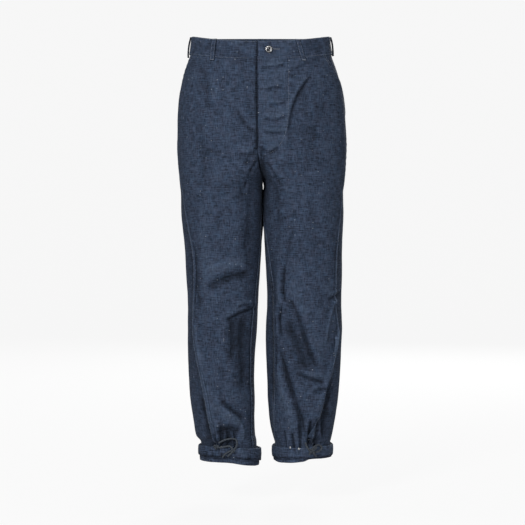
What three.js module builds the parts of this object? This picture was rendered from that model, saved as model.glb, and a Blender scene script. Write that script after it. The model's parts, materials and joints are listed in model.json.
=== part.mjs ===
import * as THREE from 'three';

// Worn trousers with a button fly, slant pockets and double-rolled cuffs. Millimetres, +Z up.
// The origin is the middle of the waist opening. The front faces -Y, and the wearer's left is +X.

// Cloth
const wall = 2;
const seamGap = 0.3;
const underGap = 1.4; // what lies under a panel clears its facets by this much
const bandWall = 3;
const bandProud = 0.8; // how far the waistband stands out from the panels below it

// Heights
const waistSeam = -21; // lower edge of the waistband at the sides
const bandHeight = 40;
const frontDip = 17; // how much lower the waist is at the middle of the front than at the sides
const backRise = 5;
const fork = -302; // where the legs part
const frontCrotch = 72; // height of the front crotch curve above the fork
const backCrotch = 115;
const crotchBlend = 60; // depth below the fork over which a thigh becomes an even tube
const waistFade = 110; // depth below the waist seam over which the dip fades out
const hem = -934; // where the legs turn up into their cuffs, before each cuff's own slope
const hemFade = 60;
const hemSeat = 3.4; // the legs end this far above the lower edges of their cuffs

// Section shape: 2 is an ellipse, and more is squarer
const bodySquareness = 2.3;
const legSquareness = 2.1;
const squareFade = { below: 100, above: 60 }; // where one turns into the other, from the fork

// The front of the waist dips more towards the middle than a plain wave would
const dipSharpness = 1.7;

function table( names, rows ) {

	return rows.map( ( row ) => Object.fromEntries( names.map( ( name, k ) => [ name, row[ k ] ] ) ) );

}

// Depth of both sides: how far the cloth reaches forward and back of Y = 0, and the Y of its side edges
const depths = table( [ 'z', 'front', 'back', 'mid' ], [
	[ 24, 103, 102, 0 ],
	[ - 21, 105, 107, 0 ],
	[ - 64, 111, 119, 1 ],
	[ - 118, 118, 131, 2 ],
	[ - 172, 121, 137, 3 ],
	[ - 227, 121, 138, 4 ],
	[ - 281, 119, 135, 4 ],
	[ - 345, 113, 124, 4 ],
	[ - 420, 105, 113, 3 ],
	[ - 500, 97, 103, 2 ],
	[ - 581, 92, 95, 1 ],
	[ - 660, 88, 92, 1 ],
	[ - 750, 82, 92, 3 ],
	[ - 850, 75, 90, 6 ],
	[ - 898, 70, 86, 8 ],
	[ - 960, 70, 86, 8 ],
] );

// Each side's outline from the front, as distances outwards from the middle plane, and where its
// seams run: 0 degrees is the outer edge, 90 the middle of the front, 180 the inner edge
const outlineColumns = [ 'z', 'outer', 'inner', 'outseam', 'inseam' ];

const leftOutline = table( outlineColumns, [
	[ 24, 153, 0, - 10, 180 ],
	[ - 21, 159, 0, - 10, 180 ],
	[ - 64, 174, 0, - 9, 180 ],
	[ - 118, 185, 0, - 8, 180 ],
	[ - 172, 190, 0, - 6, 180 ],
	[ - 227, 191.5, 0, 0, 180 ],
	[ - 302, 187.5, 3.6, 13, 180 ],
	[ - 315, 186, 5.2, 16, 177 ],
	[ - 330, 184, 4.7, 19, 174 ],
	[ - 380, 185, 4.9, 27, 166 ],
	[ - 445, 182.5, 8, 33, 156 ],
	[ - 499, 182, 10.2, 36, 151 ],
	[ - 581, 180, 12.5, 35, 147 ],
	[ - 636, 182, 10.2, 30, 143 ],
	[ - 690, 180, 10.2, 38, 142 ],
	[ - 745, 178, 12.5, 47, 143 ],
	[ - 799, 173.5, 14.8, 57, 145 ],
	[ - 853, 164.5, 19.3, 68, 150 ],
	[ - 885, 158.5, 27, 73, 158 ],
	[ - 898, 155.7, 30.4, 73, 160 ],
	[ - 960, 155.7, 30.4, 73, 160 ],
] );

const rightOutline = table( outlineColumns, [
	[ 24, 156, 0, - 14, 180 ],
	[ - 21, 162, 0, - 14, 180 ],
	[ - 64, 173.5, 0, - 13, 180 ],
	[ - 118, 185, 0, - 12, 180 ],
	[ - 172, 189.5, 0, - 8, 180 ],
	[ - 227, 189.5, 0, 0, 180 ],
	[ - 302, 185.5, - 3.2, 14, 180 ],
	[ - 315, 184.5, - 2.2, 17, 178 ],
	[ - 330, 183, - 4.3, 21, 176 ],
	[ - 380, 181, - 3.9, 31, 170 ],
	[ - 445, 174, 0.5, 39, 163 ],
	[ - 499, 171, 3, 42, 158 ],
	[ - 581, 167, 7.9, 36, 152 ],
	[ - 636, 167, 10.5, 36, 148 ],
	[ - 690, 166.5, 14.5, 44, 150 ],
	[ - 745, 164.5, 16.5, 56, 153 ],
	[ - 799, 161, 15.5, 62, 153 ],
	[ - 853, 153.5, 14.8, 66, 152 ],
	[ - 880, 148, 13.5, 65, 150 ],
	[ - 894, 137.5, 10.5, 64, 148 ],
	[ - 960, 137.5, 10.5, 64, 148 ],
] );

// X of the seam down the middle of the front, which is the fly's edge, and of the back
const middleSeams = table( [ 'z', 'front', 'back' ], [
	[ 24, - 9, - 2 ],
	[ - 150, - 8, - 1 ],
	[ - 247, - 6, 1 ],
	[ - 288, - 0.5, 3 ],
	[ - 302, 3.4, 3.4 ],
] );

// Angle of each slant pocket's mouth, from the waist seam to where it meets the outseam
const pocketColumns = [ 'z', 'mouth' ];
const leftPocket = table( pocketColumns, [ [ - 21, 29 ], [ - 57, 20 ], [ - 90, 8 ], [ - 163, - 6.5 ] ] );
const rightPocket = table( pocketColumns, [ [ - 21, 14 ], [ - 57, 8 ], [ - 90, 0 ], [ - 163, - 9 ] ] );
const pocketEnd = - 163;
const facingOverlap = 9; // degrees that the hip piece reaches under the front
const facingEnd = - 182;

const sides = {
	left: { sign: 1, outline: leftOutline, pocket: leftPocket },
	right: { sign: - 1, outline: rightOutline, pocket: rightPocket },
};

// Largest folds, each a trough from one point to the other, seen from the front or the back.
// A negative depth stands out as a ridge
const foldColumns = [ 'x1', 'z1', 'x2', 'z2', 'depth', 'width' ];

const frontFolds = table( foldColumns, [
	[ - 53, - 154, - 24, - 195, 3, 12 ],
	[ 100, - 92, 64, - 200, 3, 13 ],
	[ - 5, - 246, - 48, - 243, 4, 13 ],
	[ 14, - 262, 60, - 236, 3, 14 ],
	[ - 115, - 522, - 30, - 530, 5, 22 ],
	[ - 74, - 612, - 24, - 590, 5, 13 ],
	[ - 60, - 620, - 62, - 740, 5, 18 ],
	[ - 157, - 620, - 122, - 800, - 5, 14 ],
	[ - 122, - 800, - 106, - 884, - 7, 14 ],
	[ - 128, - 845, - 118, - 890, 9, 14 ],
	[ - 86, - 800, - 40, - 836, 6, 14 ],
	[ - 84, - 858, - 58, - 872, 10, 15 ],
	[ 49, - 512, 34, - 640, 8, 14 ],
	[ 36, - 690, 72, - 806, 7, 16 ],
	[ 72, - 806, 90, - 886, 11, 16 ],
	[ 80, - 735, 126, - 752, 5, 13 ],
	[ 166, - 640, 146, - 800, - 5, 14 ],
	[ 146, - 800, 112, - 884, - 8, 14 ],
	[ 138, - 815, 128, - 884, 10, 14 ],
	[ 166, - 560, 140, - 640, 5, 13 ],
] );

const backFolds = table( foldColumns, [
	[ 20, - 262, 92, - 330, 6, 20 ],
	[ - 16, - 268, - 88, - 338, 7, 20 ],
	[ 34, - 330, 110, - 392, 5, 20 ],
	[ - 30, - 336, - 100, - 404, 4, 20 ],
	[ 40, - 560, 140, - 536, 6, 16 ],
	[ - 34, - 548, - 136, - 566, 6, 16 ],
	[ 52, - 606, 146, - 596, 5, 15 ],
	[ - 52, - 620, - 140, - 600, 6, 15 ],
	[ 60, - 700, 120, - 770, 6, 18 ],
	[ - 56, - 710, - 104, - 790, 6, 18 ],
	[ 130, - 790, 96, - 884, 9, 17 ],
	[ 56, - 815, 74, - 886, 8, 15 ],
	[ - 116, - 800, - 92, - 886, 9, 17 ],
	[ - 40, - 830, - 50, - 888, 7, 14 ],
] );

// Cuffs: heights of the top edge, of the second turn's lower edge and of the first turn's, and how
// far the cloth bulges out, by angle round the leg
const cuffColumns = [ 'angle', 'top', 'step', 'bottom', 'bulge' ];

const leftCuff = table( cuffColumns, [
	[ 0, - 900, - 924, - 930, 0 ],
	[ 45, - 898, - 922, - 927, 0 ],
	[ 90, - 900, - 923, - 930, 0 ],
	[ 135, - 900, - 924, - 936, 0 ],
	[ 180, - 903, - 928, - 936, 0 ],
	[ 225, - 903, - 928, - 938, 1 ],
	[ 270, - 902, - 927, - 936, 1 ],
	[ 315, - 900, - 925, - 932, 0 ],
	[ 360, - 900, - 924, - 930, 0 ],
] );

const rightCuff = table( cuffColumns, [
	[ 0, - 902, - 924, - 936, 0 ],
	[ 45, - 898, - 921, - 934, 0 ],
	[ 90, - 899, - 921, - 934, 0 ],
	[ 135, - 903, - 928, - 943, 1 ],
	[ 180, - 909, - 938, - 948, 3 ],
	[ 225, - 910, - 938, - 950, 1 ],
	[ 270, - 907, - 932, - 945, 0 ],
	[ 315, - 904, - 926, - 938, 0 ],
	[ 360, - 902, - 924, - 936, 0 ],
] );

// Distances from the leg's outer face. bevel takes the corners off the folded edges
const firstTurn = { inside: 0.7, outside: 3.1, bevel: 1.2, foldHeight: 3, belowTop: 2 };
const secondTurn = { inside: 3.5, outside: 6.6, bevel: 1.2 };

// Mesh rows and columns
const panelRows = [
	- 21, - 42, - 66, - 92, - 118, - 142, - 163, - 182, - 204, - 226, - 245, - 260, - 273, - 284, - 293, - 299,
	- 303, - 312, - 328, - 350, - 378, - 408, - 440, - 472, - 504, - 534, - 562, - 590, - 618, - 648,
	- 680, - 712, - 745, - 778, - 808, - 834, - 858, - 880, - 897, - 910, - 934,
];
const panelColumns = 12;
const bandColumns = 24;
const bandRows = 4;
const cuffColumnsAround = 36;

const navy = 0x22304a;
const clothFinish = { color: navy, roughness: 0.92, metalness: 0 };

const { degToRad, radToDeg, smoothstep, lerp } = THREE.MathUtils;

// Value of one column at a height or angle, on a smooth curve through the table's rows
function along( rows, name, at, key = 'z' ) {

	const rising = rows[ rows.length - 1 ][ key ] > rows[ 0 ][ key ];
	const past = ( row ) => ( rising ? row[ key ] > at : row[ key ] < at );
	const next = rows.findIndex( past );
	if ( next === 0 ) return rows[ 0 ][ name ];
	if ( next < 0 ) return rows[ rows.length - 1 ][ name ];
	const from = rows[ next - 1 ];
	const to = rows[ next ];
	const before = rows[ Math.max( next - 2, 0 ) ];
	const after = rows[ Math.min( next + 1, rows.length - 1 ) ];
	const span = to[ key ] - from[ key ];
	const u = ( at - from[ key ] ) / span;
	const slopeFrom = ( to[ name ] - before[ name ] ) / ( to[ key ] - before[ key ] ) * span;
	const slopeTo = ( after[ name ] - from[ name ] ) / ( after[ key ] - from[ key ] ) * span;
	const rise = to[ name ] - from[ name ];
	const bend = ( slopeFrom - rise ) * ( 1 - u ) - ( slopeTo - rise ) * u;
	return from[ name ] + rise * u + bend * u * ( 1 - u );

}

const power = ( value, exponent ) => Math.sign( value ) * Math.abs( value ) ** exponent;

// How far round the section, in degrees, the panel runs before it meets the middle seam: 90 at the
// middle of the body, and up to 180 where the crotch curve reaches the fork
function turnAt( z, height, squareness ) {

	const up = Math.min( Math.max( ( z - fork ) / height, 0 ), 1 );
	const reach = Math.sqrt( 1 - ( 1 - up ) ** 2 );
	return 180 - radToDeg( Math.asin( reach ** ( squareness / 2 ) ) );

}

function squarenessAt( z ) {

	const share = smoothstep( z, fork - squareFade.below, fork + squareFade.above );
	return lerp( legSquareness, bodySquareness, share );

}

// Turn of the front or the back panel at a height
function panelTurn( z, isFront ) {

	return z > fork ? turnAt( z, isFront ? frontCrotch : backCrotch, squarenessAt( z ) ) : 180;

}

// Distance from the outer edge to the foremost line of the front, or the hindmost of the back: half
// a leg's width below the crotch, and half the body's above it
function outerHalf( outer, inner, z, isFront ) {

	const body = smoothstep( z, fork - crotchBlend, fork + ( isFront ? frontCrotch : backCrotch ) );
	return ( outer - inner ) * lerp( 0.5, 1, body );

}

// Point of the plain section, without folds, with its outward direction in the level plane
function sectionPoint( side, angle, z ) {

	const round = Math.sin( degToRad( angle ) );
	const isFront = round >= 0;
	const squareness = squarenessAt( z );
	const cosine = power( Math.cos( degToRad( angle ) ), 2 / squareness );
	const sine = power( round, 2 / squareness );
	const outer = along( side.outline, 'outer', z );
	const seam = along( middleSeams, isFront ? 'front' : 'back', z ) * side.sign + seamGap / 2;
	const inner = z > fork ? seam : along( side.outline, 'inner', z );
	const turn = panelTurn( z, isFront );
	const half = outerHalf( outer, inner, z, isFront );
	const mid = along( depths, 'mid', z );
	const depth = isFront ? along( depths, 'front', z ) + mid : along( depths, 'back', z ) - mid;
	const turnCosine = power( Math.cos( degToRad( turn ) ), 2 / squareness );
	const pastMiddle = cosine < 0 && turn > 90;
	const reach = pastMiddle ? ( outer - half - inner ) / - turnCosine : half;
	const x = side.sign * ( outer - half + reach * cosine );
	const outward = new THREE.Vector3(
		side.sign * power( cosine, squareness - 1 ) / Math.max( reach, 1 ),
		- power( sine, squareness - 1 ) / depth,
		0,
	).normalize();
	return { point: new THREE.Vector3( x, mid - depth * sine, z ), outward, round };

}

// Depth of all folds at a point, fading out towards the side edges and inside the cuffs
const foldEdge = { none: 0.05, full: 0.4 }; // sine of the angle round the section
const foldEnd = { none: - 895, full: - 868 };

function foldDepth( point, round ) {

	const folds = round > 0 ? frontFolds : backFolds;
	const facing = smoothstep( Math.abs( round ), foldEdge.none, foldEdge.full );
	const free = facing * smoothstep( point.z, foldEnd.none, foldEnd.full );
	const here = new THREE.Vector2( point.x, point.z );
	let depth = 0;
	for ( const fold of folds ) {

		const start = new THREE.Vector2( fold.x1, fold.z1 );
		const run = new THREE.Vector2( fold.x2, fold.z2 ).sub( start );
		const part = here.clone().sub( start ).dot( run ) / run.lengthSq();
		const nearest = start.clone().addScaledVector( run, Math.min( Math.max( part, 0 ), 1 ) );
		depth += fold.depth * Math.exp( - ( ( here.distanceTo( nearest ) / fold.width ) ** 2 ) );

	}
	return depth * free;

}

function clothPoint( side, angle, z ) {

	const { point, outward, round } = sectionPoint( side, angle, z );
	return point.addScaledVector( outward, - foldDepth( point, round ) );

}

// Point at a distance outwards from the cloth's outer face
const probe = { turn: 0.8, rise: 1.5 }; // the face's slope is taken this far to each side

function offsetPoint( side, angle, z, distance ) {

	const across = clothPoint( side, angle + probe.turn, z ).sub( clothPoint( side, angle - probe.turn, z ) );
	const up = clothPoint( side, angle, z + probe.rise ).sub( clothPoint( side, angle, z - probe.rise ) );
	const normal = across.cross( up ).normalize();
	if ( normal.dot( sectionPoint( side, angle, z ).outward ) < 0 ) normal.negate();
	return clothPoint( side, angle, z ).addScaledVector( normal, distance );

}

// The waist is lower in front and higher behind than at the sides
function waistRise( angle ) {

	const round = Math.sin( degToRad( angle ) );
	return round > 0 ? - frontDip * round ** dipSharpness : backRise * round ** 2;

}

// Height of a panel row at an angle, which follows the waist seam above and the cuff below
function rowHeight( side, cuff, angle, z ) {

	const around = ( angle + 360 ) % 360;
	const atWaist = smoothstep( z, waistSeam - waistFade, waistSeam );
	const atHem = 1 - smoothstep( z, hem, hem + hemFade );
	const hemDrop = along( cuff, 'bottom', around, 'angle' ) + hemSeat - hem;
	return z + waistRise( angle ) * atWaist + hemDrop * atHem;

}

// A closed mesh whose faces point out, from points that share their corners
function closedMesh( positions, triangles ) {

	const geometry = new THREE.BufferGeometry();
	const numbers = positions.flatMap( ( p ) => p.toArray() );
	geometry.setAttribute( 'position', new THREE.Float32BufferAttribute( numbers, 3 ) );
	let volume = 0;
	for ( const [ a, b, c ] of triangles ) {

		volume += positions[ a ].dot( positions[ b ].clone().cross( positions[ c ] ) );

	}

	const facing = volume > 0 ? triangles : triangles.map( ( [ a, b, c ] ) => [ a, c, b ] );
	geometry.setIndex( facing.flat() );
	geometry.computeVertexNormals();
	return geometry;

}

// A patch of cloth between two grids of points with the same rows and columns
function patch( outerRows, innerRows ) {

	const rows = outerRows.length;
	const columns = outerRows[ 0 ].length;
	const inside = rows * columns;
	const triangles = [];
	const quad = ( a, b, c, d ) => triangles.push( [ a, b, c ], [ a, c, d ] );
	for ( let r = 0; r < rows - 1; r ++ ) {

		for ( let k = 0; k < columns - 1; k ++ ) {

			const a = r * columns + k;
			const below = a + columns;
			quad( a, a + 1, below + 1, below );
			quad( inside + a, inside + below, inside + below + 1, inside + a + 1 );

		}

		const first = r * columns;
		const last = first + columns - 1;
		quad( first, first + columns, inside + first + columns, inside + first );
		quad( last, inside + last, inside + last + columns, last + columns );

	}

	for ( let k = 0; k < columns - 1; k ++ ) {

		const foot = ( rows - 1 ) * columns + k;
		quad( k, inside + k, inside + k + 1, k + 1 );
		quad( foot, foot + 1, inside + foot + 1, inside + foot );

	}

	return closedMesh( [ ...outerRows.flat(), ...innerRows.flat() ], triangles );

}

// A ring made of closed sections, one for each step round it
function ring( sections ) {

	const steps = sections.length;
	const corners = sections[ 0 ].length;
	const triangles = [];
	for ( let s = 0; s < steps; s ++ ) {

		for ( let c = 0; c < corners; c ++ ) {

			const a = s * corners + c;
			const b = s * corners + ( c + 1 ) % corners;
			const nextA = ( ( s + 1 ) % steps ) * corners + c;
			const nextB = ( ( s + 1 ) % steps ) * corners + ( c + 1 ) % corners;
			triangles.push( [ a, b, nextB ], [ a, nextB, nextA ] );

		}

	}

	return closedMesh( sections.flat(), triangles );

}

const trousers = new THREE.Group();

function addPiece( name, geometry, finish = clothFinish ) {

	const piece = new THREE.Mesh( geometry, new THREE.MeshStandardMaterial( finish ) );
	piece.name = name;
	trousers.add( piece );
	return piece;

}

// A panel of cloth between two seams, given as angles at each height
function panel( side, cuff, rows, fromAngle, toAngle, columns, inset ) {

	const grid = ( distance ) => rows.map( ( z ) => {

		const from = fromAngle( z );
		const to = toAngle( z );
		return Array.from( { length: columns + 1 }, ( _, k ) => {

			const angle = lerp( from, to, k / columns );
			return offsetPoint( side, angle, rowHeight( side, cuff, angle, z ), - distance );

		} );

	} );
	return patch( grid( inset ), grid( inset + wall ) );

}

const seamAngle = 0.12; // half the gap at a side seam, in degrees

function outerEdge( side, z ) {

	const seam = along( side.outline, 'outseam', z );
	return z > pocketEnd ? Math.max( along( side.pocket, 'mouth', z ), seam ) : seam;

}

function innerEdge( side, z, isFront ) {

	return z > fork ? panelTurn( z, isFront ) : along( side.outline, 'inseam', z );

}

function addPanels( name, side, cuff ) {

	const seam = ( z ) => along( side.outline, 'outseam', z );
	addPiece( `front_${ name }`, panel(
		side, cuff, panelRows,
		( z ) => outerEdge( side, z ) + seamAngle,
		( z ) => innerEdge( side, z, true ) - ( z > fork ? 0 : seamAngle ),
		panelColumns, 0,
	) );
	addPiece( `back_${ name }`, panel(
		side, cuff, panelRows,
		( z ) => seam( z ) - seamAngle,
		( z ) => ( z > fork ? - innerEdge( side, z, false ) : innerEdge( side, z, false ) - 360 + seamAngle ),
		panelColumns, 0,
	) );
	const facingRows = [ ...panelRows.filter( ( z ) => z > facingEnd ), facingEnd ];
	addPiece( `pocket_facing_${ name }`, panel(
		side, cuff, facingRows,
		( z ) => seam( z ) + 3 * seamAngle,
		( z ) => Math.max( along( side.pocket, 'mouth', z ), seam( z ) ) + facingOverlap,
		3, wall + underGap,
	) );

}

// Angle at which the front reaches a distance from the middle seam
function angleFromSeam( side, z, distance ) {

	const seam = along( middleSeams, 'front', z ) * side.sign;
	const share = distance / ( along( side.outline, 'outer', z ) - seam );
	return radToDeg( Math.acos( share ** ( squarenessAt( z ) / 2 ) ) );

}

// Button stand: under both fronts along the fly's edge
const flyStand = { end: - 226, underRight: 12, underLeft: 38, columnsEachSide: 3 };

function addFlyStand() {

	const rows = [ ...panelRows.filter( ( z ) => z > flyStand.end ), flyStand.end ];
	const reach = [];
	for ( let k = flyStand.columnsEachSide; k > 0; k -- ) {

		reach.push( [ sides.right, flyStand.underRight * k / flyStand.columnsEachSide ] );

	}

	for ( let k = 0; k <= flyStand.columnsEachSide; k ++ ) {

		reach.push( [ sides.left, flyStand.underLeft * k / flyStand.columnsEachSide ] );

	}

	const grid = ( distance ) => rows.map( ( z ) => reach.map( ( [ side, from ] ) => {

		const angle = angleFromSeam( side, z, from );
		return offsetPoint( side, angle, rowHeight( side, leftCuff, angle, z ), - distance );

	} ) );
	addPiece( 'fly_stand', patch( grid( wall + underGap ), grid( 2 * wall + underGap ) ) );

}

// Waistband: each half from the middle of the front round to the middle of the back. The right half
// goes on under the left one by the length of the underlap
const underlap = { length: 36, slopeFrom: 81, columns: 4 };

function bandGrid( stations, distance ) {

	return Array.from( { length: bandRows }, ( _, r ) => stations.map( ( { side, angle, inset } ) => {

		const z = waistSeam + seamGap + ( bandHeight - seamGap ) * r / ( bandRows - 1 ) + waistRise( angle );
		return offsetPoint( side, angle, z, bandProud - distance - inset );

	} ) );

}

function addWaistband() {

	const half = ( side ) => Array.from( { length: bandColumns + 1 }, ( _, k ) => (
		{ side, angle: lerp( 90, - 90, k / bandColumns ), inset: 0 }
	) );
	const left = half( sides.left );
	addPiece( 'waistband_left', patch( bandGrid( left, 0 ), bandGrid( left, bandWall ) ) );

	const right = half( sides.right ).reverse();
	const deep = bandWall + seamGap;
	for ( const station of right ) {

		station.inset = deep * smoothstep( station.angle, underlap.slopeFrom, 89 );

	}

	for ( let k = 1; k <= underlap.columns; k ++ ) {

		const angle = angleFromSeam( sides.left, waistSeam, underlap.length * k / underlap.columns );
		right.push( { side: sides.left, angle, inset: deep } );

	}

	addPiece( 'waistband_right', patch( bandGrid( right, 0 ), bandGrid( right, bandWall ) ) );

}

// Belt loops, bowed out between their two sewn ends. below is how far the lower end reaches past the
// waist seam, and lean how far the top stands to the wearer's left of the foot
const loopForm = {
	width: 11,
	wall: 2,
	stations: 8,
	proud: 0.5, // how far the top stands above the waistband
	clearance: 0.4, // from the waistband
	footClearance: 1.1, // from the panel below it
	bowShape: 0.6, // below 1 the middle of the bow is flat
};
const loops = table( [ 'name', 'side', 'angle', 'lean', 'below', 'bow' ], [
	[ 'loop_front_left', 'left', 59.2, - 9, 7, 2.6 ],
	[ 'loop_front_right', 'right', 54, 0, 7, 2.6 ],
	[ 'loop_side_left', 'left', - 4, 0, 2, 3.4 ],
	[ 'loop_side_right', 'right', - 3, 0, 6, 3.4 ],
	[ 'loop_back_left', 'left', - 52, 0, 7, 2.6 ],
	[ 'loop_back_right', 'right', - 52, 0, 7, 2.6 ],
	[ 'loop_back_centre', 'left', - 90, 0, 7, 2.6 ],
] );

function addLoop( { name, side: sideName, angle, lean, below, bow } ) {

	const side = sides[ sideName ];
	const seam = waistSeam + waistRise( angle );
	const bottom = seam - below;
	const top = seam + bandHeight + loopForm.proud;
	const across = clothPoint( side, angle + probe.turn, waistSeam );
	across.sub( clothPoint( side, angle - probe.turn, waistSeam ) ).setZ( 0 ).normalize();
	across.multiplyScalar( Math.sign( across.x || 1 ) * side.sign );
	const grid = ( distance ) => Array.from( { length: loopForm.stations + 1 }, ( _, k ) => {

		const up = k / loopForm.stations;
		const z = lerp( bottom, top, up );
		const onBand = smoothstep( z, bottom, seam );
		const rest = lerp( loopForm.footClearance, bandProud + loopForm.clearance, onBand );
		const out = rest + bow * Math.sin( Math.PI * up ) ** loopForm.bowShape + distance;
		const middle = offsetPoint( side, angle, z, out );
		middle.addScaledVector( across, lean * ( up - 0.5 ) );
		return [ - 0.5, 0.5 ].map( ( w ) => middle.clone().addScaledVector( across, w * loopForm.width ) );

	} );
	addPiece( name, patch( grid( loopForm.wall ), grid( 0 ) ) );

}

// Waistband button: a round metal one with a rolled rim and a pin head in its middle
const button = { angle: 83.6, z: - 17, radius: 8, seat: 0.6, turns: 24 };
const buttonProfile = table( [ 'r', 'h' ], [
	[ 0, 0 ], [ 0.62, 0 ], [ 0.92, 0.7 ], [ 1, 1.9 ], [ 0.9, 3 ], [ 0.7, 3.4 ], [ 0.52, 3 ],
	[ 0.42, 2 ], [ 0.28, 1.9 ], [ 0.2, 2.5 ], [ 0, 2.7 ],
] );

function addButton() {

	const profile = buttonProfile.map( ( { r, h } ) => new THREE.Vector2( r * button.radius, h ) );
	const piece = addPiece(
		'waistband_button',
		new THREE.LatheGeometry( profile, button.turns ),
		{ color: 0x1c1e24, roughness: 0.35, metalness: 0.9 },
	);
	const seat = offsetPoint( sides.left, button.angle, button.z, bandProud + button.seat );
	const ahead = offsetPoint( sides.left, button.angle, button.z, button.radius );
	const normal = ahead.sub( seat ).normalize();
	piece.position.copy( seat );
	piece.quaternion.setFromUnitVectors( new THREE.Vector3( 0, 1, 0 ), normal );

}

// Rolled cuffs. The first turn hugs the leg and goes under its edge, and the second lies on the first
function cuffPoint( side, angle, z, distance ) {

	const { point, outward } = sectionPoint( side, angle, hem );
	return point.addScaledVector( outward, distance ).setZ( z );

}

function cuffRing( side, cuff, sectionAt ) {

	return ring( Array.from( { length: cuffColumnsAround }, ( _, k ) => {

		const angle = 360 * k / cuffColumnsAround;
		const row = ( name ) => along( cuff, name, angle, 'angle' );
		const corners = sectionAt( row( 'top' ), row( 'step' ), row( 'bottom' ), row( 'bulge' ) );
		return corners.map( ( [ distance, z ] ) => cuffPoint( side, angle, z, distance ) );

	} ) );

}

function addCuff( name, side, cuff ) {

	addPiece( `cuff_${ name }_inner`, cuffRing( side, cuff, ( top, step, bottom, bulge ) => {

		const { inside, bevel } = firstTurn;
		const outside = firstTurn.outside + bulge / 2;
		const end = top - firstTurn.belowTop;
		const fold = bottom + firstTurn.foldHeight - seamGap;
		return [
			[ - wall, bottom + bevel ], [ - wall / 2, bottom ],
			[ outside - bevel, bottom ], [ outside, bottom + bevel ], [ outside, step ], [ outside, end ],
			[ inside, end ], [ inside, fold ], [ - wall, fold ],
		];

	} ) );
	addPiece( `cuff_${ name }_outer`, cuffRing( side, cuff, ( top, step, bottom, bulge ) => {

		const { bevel } = secondTurn;
		const inside = secondTurn.inside + bulge / 2;
		const outside = secondTurn.outside + bulge;
		return [
			[ inside, step + bevel ], [ inside + bevel, step ], [ outside - bevel, step ], [ outside, step + bevel ],
			[ outside, top - bevel ], [ outside - bevel, top ], [ inside + bevel, top ], [ inside, top - bevel ],
		];

	} ) );

}

// Hem drawcords: what shows of each is a bow at the outseam, from its eyelet to its free end
const cord = { radius: 1.8, sides: 8, stepLength: 4.5 };
const cordFinish = { color: 0x3a4446, roughness: 0.9, metalness: 0 };

const rightTie = [
	[ - 95, - 71.6, - 889 ], [ - 88, - 74, - 884.5 ], [ - 79, - 73.8, - 881 ], [ - 67, - 71.4, - 879.2 ],
	[ - 58, - 69.4, - 881.5 ], [ - 54.5, - 70, - 888 ], [ - 56, - 75, - 895.7 ], [ - 61.5, - 78.8, - 902.6 ],
	[ - 73, - 79.4, - 908 ], [ - 81, - 78.6, - 913 ], [ - 87, - 77, - 920.5 ],
];

const leftTie = [
	[ 98, - 72.5, - 888.5 ], [ 101.5, - 77.9, - 897.5 ], [ 108, - 77.8, - 905.5 ], [ 117, - 74.4, - 908.5 ],
	[ 127, - 68.8, - 908 ], [ 134.5, - 64.2, - 901 ], [ 128.5, - 68.4, - 893.6 ], [ 119, - 75.6, - 895.5 ],
	[ 113.6, - 80, - 902.5 ], [ 116.5, - 79.8, - 911 ], [ 122, - 74.2, - 919 ],
];

function addTie( name, points ) {

	const places = points.map( ( p ) => new THREE.Vector3( ...p ) );
	const path = new THREE.CatmullRomCurve3( places, false, 'centripetal' );
	const section = new THREE.Shape().absarc( 0, 0, cord.radius, 0, 2 * Math.PI );
	addPiece( `tie_cord_${ name }`, new THREE.ExtrudeGeometry( section, {
		steps: Math.round( path.getLength() / cord.stepLength ),
		curveSegments: cord.sides / 2,
		extrudePath: path,
	} ), cordFinish );

}

addPanels( 'left', sides.left, leftCuff );
addPanels( 'right', sides.right, rightCuff );
addFlyStand();
addWaistband();
loops.forEach( addLoop );
addButton();
addCuff( 'left', sides.left, leftCuff );
addCuff( 'right', sides.right, rightCuff );
addTie( 'left', leftTie );
addTie( 'right', rightTie );

export default trousers;
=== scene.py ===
import json
import math

import bpy
import numpy as np
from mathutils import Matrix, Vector, noise

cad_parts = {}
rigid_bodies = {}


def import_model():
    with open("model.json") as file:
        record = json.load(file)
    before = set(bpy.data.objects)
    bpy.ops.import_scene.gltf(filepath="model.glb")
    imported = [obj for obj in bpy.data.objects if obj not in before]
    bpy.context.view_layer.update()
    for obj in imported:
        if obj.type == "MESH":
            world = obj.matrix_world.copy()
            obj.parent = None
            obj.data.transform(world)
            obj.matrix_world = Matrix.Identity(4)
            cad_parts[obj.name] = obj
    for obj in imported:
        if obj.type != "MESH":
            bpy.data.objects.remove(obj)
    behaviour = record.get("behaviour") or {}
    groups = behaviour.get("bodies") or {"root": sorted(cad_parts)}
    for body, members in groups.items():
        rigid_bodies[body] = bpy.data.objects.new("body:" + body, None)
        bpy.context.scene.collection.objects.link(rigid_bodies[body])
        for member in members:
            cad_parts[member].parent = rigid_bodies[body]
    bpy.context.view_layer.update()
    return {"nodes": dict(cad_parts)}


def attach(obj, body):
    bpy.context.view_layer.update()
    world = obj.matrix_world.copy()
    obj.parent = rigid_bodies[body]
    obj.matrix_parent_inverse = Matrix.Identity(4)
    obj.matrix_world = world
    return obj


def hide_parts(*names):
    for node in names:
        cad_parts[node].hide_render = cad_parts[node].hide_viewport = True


# Worn trousers with a button fly, slant pockets and double-rolled cuffs tied with cords.
# Sizes in the tables are millimetres. The front faces -Y, and the wearer's left is +X.
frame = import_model()
mm = 0.001
print("frame loaded with", len(frame["nodes"]), "nodes")

cameraSetup = {
    "distance": 4.2,  # metres in front of the waist's middle
    "height": -0.36,
    "side": 0.0023,
    "target": -0.4887,  # height that the frame's middle looks at
    "frameWidth": 1.186,  # what the frame takes in at that distance
    "sensor": 36,
}


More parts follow.
